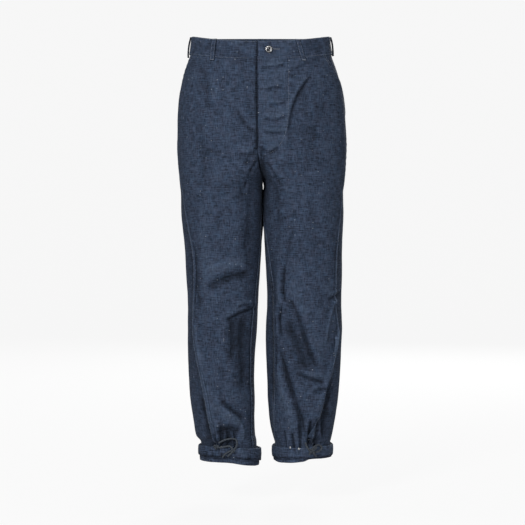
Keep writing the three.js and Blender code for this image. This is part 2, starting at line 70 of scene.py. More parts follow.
def addCamera(setup):
    data = bpy.data.cameras.new("camera")
    data.sensor_width = setup["sensor"]
    data.lens = setup["sensor"] * setup["distance"] / setup["frameWidth"]
    camera = bpy.data.objects.new("camera", data)
    camera.location = (setup["side"], -setup["distance"], setup["height"])
    aim = Vector((setup["side"], 0, setup["target"])) - camera.location
    camera.rotation_euler = aim.to_track_quat("-Z", "Y").to_euler()
    bpy.context.collection.objects.link(camera)
    bpy.context.scene.camera = camera


addCamera(cameraSetup)

# The cut: heights and section shape
cut = {
    "waistSeam": -21,
    "bandHeight": 40,
    "frontDip": 17,  # how much lower the waist is in front than at the sides
    "dipSharpness": 1.7,
    "backRise": 5,
    "fork": -302,  # where the legs part
    "frontCrotch": 72,
    "backCrotch": 115,
    "crotchBlend": 60,
    "waistFade": 110,
    "hem": -934,
    "hemFade": 60,
    "hemSeat": 3.4,
    "pocketEnd": -163,
    "bodySquareness": 2.3,
    "legSquareness": 2.1,
    "squareBelow": 100,
    "squareAbove": 60,
    "seamGap": 0.3,
    "cloth": 0.95,  # thickness of one layer
}


def table(names, *rows):
    columns = zip(*rows)
    return {name: np.array(column, float) for name, column in zip(names.split(), columns)}


depths = table(
    "z front back mid",
    (24, 103, 102, 0), (-21, 105, 107, 0), (-64, 111, 119, 1), (-118, 118, 131, 2),
    (-172, 121, 137, 3), (-227, 121, 138, 4), (-281, 119, 135, 4), (-345, 113, 124, 4),
    (-420, 105, 113, 3), (-500, 97, 103, 2), (-581, 92, 95, 1), (-660, 88, 92, 1),
    (-750, 82, 92, 3), (-850, 75, 90, 6), (-898, 70, 86, 8), (-960, 70, 86, 8),
)

# Distances outwards from the middle plane, and the angles of the side and inner leg seams
leftOutline = table(
    "z outer inner outseam inseam",
    (24, 153, 0, -10, 180), (-21, 159, 0, -10, 180), (-64, 174, 0, -9, 180),
    (-118, 185, 0, -8, 180), (-172, 190, 0, -6, 180), (-227, 191.5, 0, 0, 180),
    (-302, 187.5, 3.6, 13, 180), (-315, 186, 5.2, 16, 177), (-330, 184, 4.7, 19, 174),
    (-380, 185, 4.9, 27, 166), (-445, 182.5, 8, 33, 156), (-499, 182, 10.2, 36, 151),
    (-581, 180, 12.5, 35, 147), (-636, 182, 10.2, 30, 143), (-690, 180, 10.2, 38, 142),
    (-745, 178, 12.5, 47, 143), (-799, 173.5, 14.8, 57, 145), (-853, 164.5, 19.3, 68, 150),
    (-885, 158.5, 27, 73, 158), (-898, 155.7, 30.4, 73, 160), (-960, 155.7, 30.4, 73, 160),
)
rightOutline = table(
    "z outer inner outseam inseam",
    (24, 156, 0, -14, 180), (-21, 162, 0, -14, 180), (-64, 173.5, 0, -13, 180),
    (-118, 185, 0, -12, 180), (-172, 189.5, 0, -8, 180), (-227, 189.5, 0, 0, 180),
    (-302, 185.5, -3.2, 14, 180), (-315, 184.5, -2.2, 17, 178), (-330, 183, -4.3, 21, 176),
    (-380, 181, -3.9, 31, 170), (-445, 174, 0.5, 39, 163), (-499, 171, 3, 42, 158),
    (-581, 167, 7.9, 36, 152), (-636, 167, 10.5, 36, 148), (-690, 166.5, 14.5, 44, 150),
    (-745, 164.5, 16.5, 56, 153), (-799, 161, 15.5, 62, 153), (-853, 153.5, 14.8, 66, 152),
    (-880, 148, 13.5, 65, 150), (-894, 137.5, 10.5, 64, 148), (-960, 137.5, 10.5, 64, 148),
)
middleSeams = table(
    "z front back",
    (24, -9, -2), (-150, -8, -1), (-247, -6, 1), (-288, -0.5, 3), (-302, 3.4, 3.4),
)
leftPocket = table("z mouth", (-21, 29), (-57, 20), (-90, 8), (-163, -6.5))
rightPocket = table("z mouth", (-21, 14), (-57, 8), (-90, 0), (-163, -9))

# Cuffs by angle round the leg: top edge, lower edge of the second turn and of the first, bulge
leftCuff = table(
    "angle top step bottom bulge",
    (0, -900, -924, -929, 0), (45, -898, -922, -926, 0), (78, -899, -922, -926, 0),
    (90, -900, -923, -931, 0), (135, -900, -924, -936, 0), (180, -903, -928, -936, 0),
    (225, -903, -928, -938, 1), (270, -902, -927, -936, 1), (315, -900, -925, -932, 0),
    (360, -900, -924, -929, 0),
)
rightCuff = table(
    "angle top step bottom bulge",
    (0, -902, -924, -936, 0), (45, -898, -921, -934, 0), (90, -899, -921, -934, 0),
    (135, -903, -928, -943, 1), (180, -909, -938, -948, 3), (225, -910, -938, -950, 1),
    (270, -907, -932, -945, 0), (315, -904, -926, -938, 0), (360, -902, -924, -936, 0),
)
sides = {
    "left": {"sign": 1, "outline": leftOutline, "pocket": leftPocket, "cuff": leftCuff},
    "right": {"sign": -1, "outline": rightOutline, "pocket": rightPocket, "cuff": rightCuff},
}


# A smooth curve through one column
def along(rows, name, at, key="z"):
    keys, values = rows[key], rows[name]
    if keys[0] > keys[-1]:
        keys, values = keys[::-1], values[::-1]
    at = np.asarray(at, float)
    last = len(keys) - 1
    i = np.clip(np.searchsorted(keys, at, side="right") - 1, 0, last - 1)
    before, after = np.maximum(i - 1, 0), np.minimum(i + 2, last)
    span = keys[i + 1] - keys[i]
    u = np.clip((at - keys[i]) / span, 0, 1)
    slopeFrom = (values[i + 1] - values[before]) / (keys[i + 1] - keys[before]) * span
    slopeTo = (values[after] - values[i]) / (keys[after] - keys[i]) * span
    rise = values[i + 1] - values[i]
    bend = (slopeFrom - rise) * (1 - u) - (slopeTo - rise) * u
    return values[i] + rise * u + bend * u * (1 - u)


def smooth(value, low, high):
    u = np.clip((value - low) / (high - low), 0, 1)
    return u * u * (3 - 2 * u)


def power(value, exponent):
    return np.sign(value) * np.abs(value) ** exponent


def squarenessAt(z):
    share = smooth(z, cut["fork"] - cut["squareBelow"], cut["fork"] + cut["squareAbove"])
    return cut["legSquareness"] + (cut["bodySquareness"] - cut["legSquareness"]) * share


# How far round, in degrees, a front or back runs before it meets the middle seam
def panelTurn(z, isFront):
    height = np.where(isFront, cut["frontCrotch"], cut["backCrotch"])
    up = np.clip((z - cut["fork"]) / height, 0, 1)
    reach = np.sqrt(1 - (1 - up) ** 2)
    return 180 - np.degrees(np.arcsin(reach ** (squarenessAt(z) / 2)))


# Point of the plain section and its outward direction, both as arrays of x, y, z
def sectionPoint(side, angle, z):
    angle, z = np.broadcast_arrays(np.asarray(angle, float), np.asarray(z, float))
    sign = side["sign"]
    sine = np.sin(np.radians(angle))
    isFront = sine >= 0
    squareness = squarenessAt(z)
    cosine = power(np.cos(np.radians(angle)), 2 / squareness)
    sine = power(sine, 2 / squareness)
    outer = along(side["outline"], "outer", z)
    frontSeam, backSeam = (along(middleSeams, name, z) for name in ("front", "back"))
    seam = np.where(isFront, frontSeam, backSeam) * sign + cut["seamGap"] / 2
    inner = np.where(z > cut["fork"], seam, along(side["outline"], "inner", z))
    turn = panelTurn(z, isFront)
    crotch = np.where(isFront, cut["frontCrotch"], cut["backCrotch"])
    body = smooth(z, cut["fork"] - cut["crotchBlend"], cut["fork"] + crotch)
    half = (outer - inner) * (0.5 + 0.5 * body)
    mid = along(depths, "mid", z)
    depth = np.where(isFront, along(depths, "front", z) + mid, along(depths, "back", z) - mid)
    turnCosine = power(np.cos(np.radians(turn)), 2 / squareness)
    pastMiddle = (cosine < 0) & (turnCosine < -0.01)
    shrink = np.where(pastMiddle, -turnCosine, 1)
    reach = np.where(pastMiddle, (outer - half - inner) / shrink, half)
    point = np.stack([sign * (outer - half + reach * cosine), mid - depth * sine, z], axis=-1)
    outward = np.stack([
        sign * power(cosine, squareness - 1) / np.maximum(reach, 1),
        -power(sine, squareness - 1) / depth,
        np.zeros_like(z),
    ], axis=-1)
    return point, outward / np.linalg.norm(outward, axis=-1, keepdims=True)


# The angle at which a side's front or back has that x
def angleAt(side, x, z, isFront=True):
    angles = np.linspace(0, 179, 360) * (1 if isFront else -1)
    reach = sectionPoint(side, angles, z)[0][:, 0] * side["sign"]
    return float(np.interp(x * side["sign"], reach[::-1], angles[::-1]))


# Creases, by place: each runs through its points as x, z. depth is how far in it goes, or out
# where negative, width its half width, and lip the share that stands up beside it, on the left
# of its run where positive
creases = {
    "front": [
        # seat of the fly and hips
        {"run": [(112, -72), (97, -92), (79, -122), (66, -162), (60, -216)], "depth": 5.4, "width": 4.2, "lip": -0.5},
        {"run": [(-56, -150), (-36, -184), (-11, -202)], "depth": 3, "width": 5.5, "lip": 0.4},
        {"run": [(-54, -248), (-28, -250), (-8, -243)], "depth": 4, "width": 6, "lip": 0.4},
        {"run": [(-40, -262), (-22, -268), (-6, -262)], "depth": 4.5, "width": 12, "lip": 0},
        {"run": [(-42, -590), (-42, -680), (-38, -790)], "depth": 5.4, "width": 25, "lip": 0},
        {"run": [(24, -470), (22, -600), (24, -700), (26, -830)], "depth": 5, "width": 15, "lip": 0},
        {"run": [(56, -606), (80, -676), (104, -742)], "depth": 6, "width": 19, "lip": 0},
        {"run": [(-20, -290), (-28, -380), (-24, -480)], "depth": 2.8, "width": 17, "lip": 0},
        {"run": [(28, -290), (36, -380), (30, -480)], "depth": 2.8, "width": 17, "lip": 0},
        {"run": [(-150, -420), (-146, -520), (-140, -600)], "depth": 3.5, "width": 14, "lip": 0.2},
        {"run": [(-94, -887), (-76, -884), (-58, -889)], "depth": 6, "width": 8, "lip": 0},
        {"run": [(100, -880), (114, -884), (128, -884)], "depth": 6, "width": 8, "lip": 0},
        {"run": [(8, -58), (32, -56), (54, -50)], "depth": 4.6, "width": 3, "lip": 0.5},
        {"run": [(4, -110), (26, -103), (50, -101)], "depth": 4.4, "width": 3.2, "lip": 0.5},
        {"run": [(17, -137), (39, -139), (56, -130)], "depth": 4.2, "width": 3, "lip": 0.4},
        {"run": [(3, -166), (32, -174), (60, -158)], "depth": 4.4, "width": 3.2, "lip": 0.5},
        {"run": [(0, -197), (26, -202), (58, -199)], "depth": 4.8, "width": 3.2, "lip": 0.5},
        {"run": [(4, -230), (16, -246), (42, -230)], "depth": 5, "width": 3.4, "lip": 0.5},
        {"run": [(136, -32), (108, -44), (78, -60), (52, -84)], "depth": 2.6, "width": 6, "lip": -0.4},
        {"run": [(-150, -36), (-131, -62), (-119, -106), (-124, -150)], "depth": 2.2, "width": 7, "lip": 0.4},
        {"run": [(9, -262), (24, -284), (44, -320)], "depth": 5, "width": 5, "lip": 0.25},
        {"run": [(-6, -264), (-24, -286), (-38, -328)], "depth": 5, "width": 5.5, "lip": -0.25},
        {"run": [(14, -266), (48, -272), (92, -262)], "depth": 2, "width": 8, "lip": 0.1},
        {"run": [(-60, -262), (-92, -246), (-128, -238)], "depth": 1.5, "width": 10, "lip": 0.3},
        {"run": [(150, -120), (120, -190), (112, -262)], "depth": 2.2, "width": 14, "lip": 0.2},
        {"run": [(-150, -170), (-128, -240), (-132, -330)], "depth": 2.2, "width": 15, "lip": 0.2},
        # thighs
        {"run": [(-43, -279), (-45, -310), (-40, -360)], "depth": 2.4, "width": 9, "lip": 0.3},
        {"run": [(-108, -322), (-83, -314), (-58, -322)], "depth": 1.2, "width": 7, "lip": 0.3},
        {"run": [(38, -394), (61, -384), (88, -380)], "depth": 2, "width": 8, "lip": 0.3},
        {"run": [(72, -404), (58, -452), (50, -500)], "depth": 3, "width": 10, "lip": -0.3},
        {"run": [(-92, -360), (-98, -430), (-84, -500)], "depth": 1.6, "width": 17, "lip": 0.2},
        {"run": [(108, -330), (118, -420), (110, -500)], "depth": 1.6, "width": 17, "lip": 0.2},
        {"run": [(-30, -400), (-34, -450), (-26, -500)], "depth": 2, "width": 12, "lip": 0},
        # right knee and shin
        {"run": [(-126, -546), (-78, -522), (-18, -510)], "depth": 8, "width": 13, "lip": 0.3},
        {"run": [(-54, -588), (-39, -582), (-20, -586)], "depth": 4.6, "width": 4, "lip": 0.6},
        {"run": [(-82, -618), (-48, -600), (-10, -587)], "depth": 5.8, "width": 5, "lip": 0.5},
        {"run": [(-68, -602), (-63, -650), (-66, -716)], "depth": 5, "width": 12.5, "lip": 0},
        {"run": [(-96, -790), (-66, -814), (-34, -840)], "depth": 8, "width": 7, "lip": -0.5},
        {"run": [(-104, -872), (-75, -858), (-42, -868)], "depth": 9, "width": 11, "lip": 0},
        {"run": [(-137, -780), (-126, -840), (-110, -892)], "depth": 8, "width": 8, "lip": 0},
        {"run": [(-154, -600), (-134, -720), (-114, -828), (-105, -890)], "depth": -6, "width": 7, "lip": 0},
        {"run": [(-90, -690), (-84, -740), (-92, -800)], "depth": 1.8, "width": 9, "lip": 0.3},
        {"run": [(-46, -846), (-40, -868), (-44, -892)], "depth": -3.5, "width": 7, "lip": 0},
        {"run": [(-152, -560), (-128, -572), (-100, -568)], "depth": 1.8, "width": 7, "lip": 0.4},
        # left knee and shin
        {"run": [(50, -484), (45, -546), (51, -578)], "depth": 8, "width": 5.5, "lip": -0.4},
        {"run": [(43, -577), (38, -617), (42, -655)], "depth": 7, "width": 5, "lip": -0.3},
        {"run": [(58, -560), (77, -600), (94, -646), (114, -700), (133, -731)], "depth": 6.5, "width": 8, "lip": 0.2},
        {"run": [(34, -664), (55, -743), (76, -803), (93, -851), (101, -889)], "depth": 9, "width": 9, "lip": -0.35},
        {"run": [(74, -734), (108, -744), (148, -757)], "depth": 6.5, "width": 5, "lip": 0.5},
        {"run": [(110, -776), (131, -772), (152, -766)], "depth": 4.6, "width": 4.5, "lip": 0.5},
        {"run": [(178, -610), (162, -691), (145, -761), (131, -812), (110, -884)], "depth": -6.5, "width": 6.5, "lip": 0},
        {"run": [(173, -562), (159, -588), (148, -631), (142, -676)], "depth": -3, "width": 4.5, "lip": 0},
        {"run": [(158, -735), (145, -803), (138, -837), (139, -890)], "depth": 10, "width": 9, "lip": 0},
        {"run": [(146, -572), (164, -562), (180, -553)], "depth": 4, "width": 4.5, "lip": 0.5},
        {"run": [(150, -540), (166, -546), (182, -540)], "depth": 2, "width": 5, "lip": 0.4},
        {"run": [(64, -880), (76, -862), (92, -874)], "depth": 3, "width": 6, "lip": 0},
        # gathers that the hem cords draw up
        {"run": [(-112, -838), (-107, -872), (-103, -915)], "depth": 9, "width": 5.5, "lip": 0.3},
        {"run": [(-92, -846), (-90, -876), (-93, -915)], "depth": 8, "width": 5, "lip": 0.3},
        {"run": [(-76, -856), (-74, -880), (-78, -915)], "depth": 10, "width": 6, "lip": 0.3},
        {"run": [(-60, -862), (-58, -884), (-62, -915)], "depth": 8, "width": 5, "lip": 0.3},
        {"run": [(48, -858), (52, -884), (56, -915)], "depth": 6, "width": 4.5, "lip": 0.3},
        {"run": [(66, -866), (70, -888), (72, -915)], "depth": 7, "width": 4.5, "lip": 0.3},
        {"run": [(84, -838), (86, -874), (86, -915)], "depth": 8, "width": 5, "lip": 0.3},
        {"run": [(112, -834), (108, -870), (104, -915)], "depth": 10, "width": 5.5, "lip": -0.3},
        {"run": [(126, -826), (122, -870), (119, -915)], "depth": 9, "width": 5, "lip": 0.3},
    ],
    "back": [
        {"run": [(14, -262), (50, -290), (98, -334)], "depth": 7, "width": 15, "lip": 0.3},
        {"run": [(-12, -266), (-48, -300), (-92, -342)], "depth": 7.5, "width": 15, "lip": -0.3},
        {"run": [(30, -326), (70, -352), (120, -396)], "depth": 5.5, "width": 15, "lip": 0.3},
        {"run": [(-26, -332), (-60, -362), (-104, -410)], "depth": 5, "width": 16, "lip": -0.3},
        {"run": [(24, -396), (60, -408), (104, -442)], "depth": 2.6, "width": 13, "lip": 0.3},
        {"run": [(-30, -404), (-66, -430), (-118, -462)], "depth": 2.8, "width": 14, "lip": -0.3},
        {"run": [(12, -208), (32, -232), (66, -250)], "depth": 3, "width": 10, "lip": 0.3},
        {"run": [(-14, -204), (-36, -230), (-72, -246)], "depth": 2.6, "width": 10, "lip": -0.3},
        {"run": [(120, -250), (138, -300), (128, -372)], "depth": 2.6, "width": 15, "lip": 0.2},
        {"run": [(-126, -238), (-140, -300), (-134, -380)], "depth": 2.8, "width": 15, "lip": 0.2},
        {"run": [(36, -562), (86, -544), (144, -534)], "depth": 6.5, "width": 10, "lip": 0.5},
        {"run": [(-30, -546), (-84, -560), (-140, -568)], "depth": 6.5, "width": 10, "lip": 0.5},
        {"run": [(50, -606), (96, -604), (148, -594)], "depth": 5.5, "width": 10, "lip": -0.4},
        {"run": [(-48, -622), (-92, -612), (-144, -598)], "depth": 6, "width": 9, "lip": 0.5},
        {"run": [(62, -648), (100, -654), (136, -642)], "depth": 3.2, "width": 8, "lip": 0.4},
        {"run": [(-66, -664), (-96, -660), (-130, -646)], "depth": 3.4, "width": 8, "lip": 0.4},
        {"run": [(58, -694), (86, -730), (122, -774)], "depth": 6.5, "width": 12, "lip": 0.3},
        {"run": [(-54, -704), (-80, -742), (-106, -792)], "depth": 6.5, "width": 12, "lip": -0.3},
        {"run": [(132, -784), (112, -836), (94, -890)], "depth": 9.5, "width": 11, "lip": 0.3},
        {"run": [(54, -808), (62, -850), (76, -890)], "depth": 8.5, "width": 10, "lip": 0.3},
        {"run": [(-118, -796), (-106, -846), (-90, -890)], "depth": 9.5, "width": 11, "lip": 0.3},
        {"run": [(-38, -822), (-42, -856), (-52, -890)], "depth": 8, "width": 10, "lip": 0.3},
        {"run": [(84, -826), (90, -856), (84, -884)], "depth": 4, "width": 8, "lip": 0.3},
        {"run": [(-70, -834), (-74, -862), (-66, -888)], "depth": 4.5, "width": 8, "lip": 0.3},
        {"run": [(10, -60), (50, -66), (96, -58)], "depth": 1.4, "width": 8, "lip": 0.3},
        {"run": [(-14, -64), (-60, -70), (-104, -60)], "depth": 1.4, "width": 8, "lip": 0.3},
    ],
}


# Evenly spaced points of a soft curve through a few
def softLine(points, count):
    points = np.asarray(points, float)
    padded = np.vstack([2 * points[0] - points[1], points, 2 * points[-1] - points[-2]])
    line = []
    for t in np.linspace(0, len(points) - 1, count):
        i = min(int(t), len(points) - 2)
        u = t - i
        a, b, c, d = padded[i:i + 4]
        line.append(0.5 * (2 * b + (c - a) * u + (2 * a - 5 * b + 4 * c - d) * u ** 2
                           + (3 * b - a - 3 * c + d) * u ** 3))
    return np.array(line)


def placeCreases():
    placed = []
    for place, rows in creases.items():
        for row in rows:
            flat = softLine(row["run"], 6 * len(row["run"]))
            side = sides["left" if flat[:, 0].mean() > 3 else "right"]
            angles = [angleAt(side, x, z, place == "front") for x, z in flat]
            points, outward = sectionPoint(side, angles, flat[:, 1])
            placed.append({**row, "line": points, "outward": outward})
    return placed


placedCreases = placeCreases()


# How far the creases push the cloth out at each point, in for the most part
def creaseLift(points):
    lift = np.zeros(len(points))
    for crease in placedCreases:
        line, width = crease["line"], crease["width"]
        margin = 5 * width
        low, high = line.min(axis=0) - margin, line.max(axis=0) + margin
        near = np.flatnonzero(np.all((points > low) & (points < high), axis=1))
        if not len(near):
            continue
        start, run = line[:-1], np.diff(line, axis=0)
        offset = points[near][:, None, :] - start
        u = np.clip((offset * run).sum(-1) / (run * run).sum(-1), 0, 1)
        gap = offset - u[..., None] * run
        distance = np.linalg.norm(gap, axis=-1)
        best = distance.argmin(axis=1)
        pick = np.arange(len(near))
        distance, u, gap = distance[pick, best], u[pick, best], gap[pick, best]
        leftward = np.cross(crease["outward"][best], run[best])
        signed = distance * np.sign((gap * leftward).sum(-1))
        part = (best + u) / len(run)
        fade = smooth(part, 0, 0.2) * smooth(1 - part, 0, 0.2)
        core = np.exp(-(distance / max(0.36 * width, 2.1)) ** 2)
        trough = 0.62 * np.exp(-(distance / width) ** 2) + 0.38 * core
        beside = np.exp(-((signed * np.sign(crease["lip"]) - 2.1 * width) / (1.5 * width)) ** 2)
        lift[near] -= crease["depth"] * fade * (trough - abs(crease["lip"]) * beside)
    return lift


# Gentle unevenness of worn cloth: wave length in mm, and how far it reaches
unevenness = [(95, 1.6), (38, 0.75), (15, 0.3)]


def noiseAt(points, wave, seed=0):
    shift = Vector((seed, 2.7 * seed, -1.3 * seed))
    scaled = points / wave
    return np.array([noise.noise(Vector(p) + shift) for p in scaled.tolist()])


def slackLift(points):
    lift = np.zeros(len(points))
    for seed, (wave, reach) in enumerate(unevenness):
        lift += reach * noiseAt(points * (1, 1, 0.7), wave, seed)
    return lift


# Uneven fading of the dye: wave length in mm and strength. Painted shade in hollows behind the hem ties and at the
# fork: place, reach and darkness
fades = [(60, 0.22), (17, 0.34), (6, 0.2)]
paintedShadeSpots = [((-76, -76, -891), (20, 16, 8), 1.3), ((112, -72, -887), (16, 16, 9), 1.1),
           ((3.5, -100, -262), (5, 30, 30), 0.9)]


def fadingAndPaintedShade(points):
    tone = np.zeros(len(points))
    for seed, (wave, reach) in enumerate(fades):
        tone += reach * noiseAt(points * (1, 1, 0.7), wave, 50 + seed)
    # painted shade in the hollows
    for place, reach, dark in paintedShadeSpots:
        tone -= dark * np.exp(-(((points - place) / reach) ** 2).sum(axis=1))
    return tone


# Where the thighs touch, both bend the same way, so that nothing shows between them
def thighSway(point):
    inner = smooth(-np.abs(point[..., 0] - 4), -16, -3)
    height = smooth(point[..., 2], -460, -400) * smooth(-point[..., 2], 318, 336)
    return 3.2 * np.sin(point[..., 1] / 17) * inner * height


# Points of the creased cloth, and how far each crease moved them
def creasedPoint(side, angle, z):
    point, outward = sectionPoint(side, angle, z)
    flat = point.reshape(-1, 3)
    fold = creaseLift(flat)
    lift = fold + slackLift(flat) * smooth(-flat[:, 2], 20, 70)
    # inside the cuffs the cloth may only fold inwards
    free = np.where(lift > 0, smooth(flat[:, 2], -897, -872), smooth(flat[:, 2], -922, -902))
    fold, lift = fold * free, lift * free
    point = point + outward * lift.reshape(point.shape[:-1])[..., None]
    point[..., 0] += thighSway(point)
    return point, fold.reshape(point.shape[:-1])


def formPoint(side, angle, z):
    return creasedPoint(side, angle, z)[0]


# Point at a distance out from the finished cloth face, and the face's normal there
def facePoint(side, angle, z, distance=0.0):
    angle, z = np.broadcast_arrays(np.asarray(angle, float), np.asarray(z, float))
    stack = formPoint(
        side,
        np.stack([angle, angle + 1, angle - 1, angle, angle]),
        np.stack([z, z, z, z + 2, z - 2]),
    )
    normal = np.cross(stack[1] - stack[2], stack[3] - stack[4])
    normal /= np.linalg.norm(normal, axis=-1, keepdims=True)
    outward = sectionPoint(side, angle, z)[1]
    normal *= np.sign((normal * outward).sum(-1, keepdims=True))
    return stack[0] + normal * distance, normal


def waistRise(angle):
    sine = np.sin(np.radians(angle))
    return np.where(
        sine > 0,
        -cut["frontDip"] * np.abs(sine) ** cut["dipSharpness"],
        cut["backRise"] * sine ** 2,
    )


def rowHeight(side, angle, z):
    atWaist = smooth(z, cut["waistSeam"] - cut["waistFade"], cut["waistSeam"])
    atHem = 1 - smooth(z, cut["hem"], cut["hem"] + cut["hemFade"])
    bottom = along(side["cuff"], "bottom", np.mod(angle, 360), "angle")
    return z + waistRise(angle) * atWaist + (bottom + cut["hemSeat"] - cut["hem"]) * atHem


# A mesh object from points in mm. layers maps a name to one value for each point
def addMesh(name, points, faces, uvs=None, layers=None):
    mesh = bpy.data.meshes.new(name)
    mesh.from_pydata((np.asarray(points) * mm).tolist(), [], faces)
    corners = np.empty(len(mesh.loops), int)
    mesh.loops.foreach_get("vertex_index", corners)
    if uvs is not None:
        layer = mesh.uv_layers.new(name="cloth")
        layer.data.foreach_set("uv", (np.asarray(uvs) * mm)[corners].ravel())
    for key, values in (layers or {}).items():
        layer = mesh.attributes.new(key, "FLOAT", "POINT")
        layer.data.foreach_set("value", np.asarray(values, float))
    mesh.shade_smooth()
    piece = bpy.data.objects.new(name, mesh)
    bpy.context.collection.objects.link(piece)
    return piece


def gridNormals(grid, outward=None):
    acrossRows, acrossColumns = np.gradient(grid, axis=0), np.gradient(grid, axis=1)
    normal = np.cross(acrossColumns, acrossRows)
    normal /= np.maximum(np.linalg.norm(normal, axis=-1, keepdims=True), 1e-9)
    if outward is not None and (normal * outward).sum() < 0:
        normal = -normal
    return normal


# A closed sheet of cloth from a grid of points on its outer face
def addShell(name, grid, normals, thickness, uvs, wear):
    rows, columns = grid.shape[:2]
    count = rows * columns
    index = np.arange(count).reshape(rows, columns)
    a, b = index[:-1, :-1], index[:-1, 1:]
    c, d = index[1:, 1:], index[1:, :-1]
    outer = np.stack([a, b, c, d], axis=-1).reshape(-1, 4)
    first = np.cross(grid[0, 1] - grid[0, 0], grid[1, 0] - grid[0, 0])
    if first @ normals[0, 0] < 0:
        outer = outer[:, ::-1]
    inner = outer[:, ::-1] + count
    edge = np.concatenate([index[0, :-1], index[:-1, -1], index[-1, :0:-1], index[:0:-1, 0]])
    following = np.roll(edge, -1)
    rim = np.stack([edge, edge + count, following + count, following], axis=-1)
    if first @ normals[0, 0] < 0:
        rim = rim[:, ::-1]
    points = np.concatenate([grid.reshape(-1, 3), (grid - thickness * normals).reshape(-1, 3)])
    faces = np.concatenate([outer, inner, rim]).tolist()
    return addMesh(name, points, faces, np.tile(uvs.reshape(-1, 2), (2, 1)),
                   {"wear": np.tile(wear.ravel(), 2)})


# Panels. Steps beyond an edge and out from the face say how the edge is finished
panelGrid = {
    "front": {"columns": 128, "hipStep": 2.3, "legStep": 3.1},
    "back": {"columns": 84, "hipStep": 3, "legStep": 2.9},
    "hipEnd": -285,
    "edgeSteps": [0, 0.7, 1.6, 3, 5],
    "topUnder": 6,
}
edgeTurns = {
    "seam": [(0.16, -0.35), (0.16, -1), (0.1, -2.4), (-5, -2.8)],
    "folded": [(0.4, -0.3), (0.6, -0.9), (0.4, -1.6), (-0.6, -2), (-11, -2.1)],
    "flyEdge": [(0.35, -0.4), (0.45, -1.2), (0.2, -2.1), (-0.8, -2.5), (-11, -2.5)],
    "tucked": [(2.5, -0.1), (6, -0.15), (11, -0.2)],
}


def outerEdge(side, z):
    seam = along(side["outline"], "outseam", z)
    mouth = along(side["pocket"], "mouth", z)
    return np.where(z > cut["pocketEnd"], np.maximum(mouth, seam), seam)


def innerEdge(side, z, isFront):
    return np.where(z > cut["fork"], panelTurn(z, isFront), along(side["outline"], "inseam", z))


# Angles of a panel's columns, closer together beside its edges, and the distances from each edge
def spreadColumns(side, z, fromAngle, toAngle, columns):
    angle = np.linspace(fromAngle, toAngle, 33, axis=1)
    points = sectionPoint(side, angle, rowHeight(side, angle, z[:, None]))[0]
    steps = np.linalg.norm(np.diff(points, axis=1), axis=-1)
    arc = np.hstack([np.zeros((len(z), 1)), np.cumsum(steps, axis=1)])
    edge = np.array(panelGrid["edgeSteps"])
    angles, fromOuter = [], []
    for row in range(len(z)):
        total = arc[row, -1]
        middle = np.linspace(edge[-1], total - edge[-1], columns)
        wanted = np.concatenate([edge[:-1], middle, total - edge[-2::-1]])
        angles.append(np.interp(wanted, arc[row], angle[row]))
        fromOuter.append(wanted)
    fromOuter = np.array(fromOuter)
    return np.array(angles), fromOuter, arc[:, -1:] - fromOuter


# How an edge looks, by distance from the edge: lighter where positive, as rubbed wear, and painted shade where
# negative, in the dip beside seams and folded edges, along the fly's edge and under tucked edges
edgeWearAndPaintedShade = {
    "seam": lambda distance: 0.95 * np.exp(-(distance / 2.2) ** 2) - 0.5 * np.exp(-((distance - 6) / 3) ** 2),
    "folded": lambda distance: 0.7 * np.exp(-((distance - 1) / 1.6) ** 2) - 0.45 * np.exp(-((distance - 6) / 3) ** 2),
    # flyEdge and tucked: painted shade along the fly's edge and under the edges that tuck beneath another panel
    "flyEdge": lambda distance: -0.7 * np.exp(-(distance / 1.5) ** 2),
    "tucked": lambda distance: -1.6 * np.exp(-(distance / 4.5) ** 2),
}


# Columns added past one edge of a grid
def turnEdge(grid, normals, turn, atEnd):
    edge, beside = (-1, -2) if atEnd else (0, 1)
    beyond = grid[:, edge] - grid[:, beside]
    beyond /= np.linalg.norm(beyond, axis=-1, keepdims=True)
    added = [grid[:, edge] + beyond * away + normals[:, edge] * out for away, out in turn]
    return np.stack(added if atEnd else added[::-1], axis=1)


# Ripples that a seam's stitching draws up beside it
def roping(along_, distance, reach, width, wave, seed):
    phase = 2 * math.pi * along_ / wave
    drift = 2.2 * np.sin(along_ / 47 + seed) + 1.4 * np.sin(along_ / 19 + 2 * seed)
    swell = 0.6 + 0.4 * np.sin(along_ / 61 + 3 * seed)
    return reach * swell * np.sin(phase + drift) * np.exp(-(distance / width) ** 2)


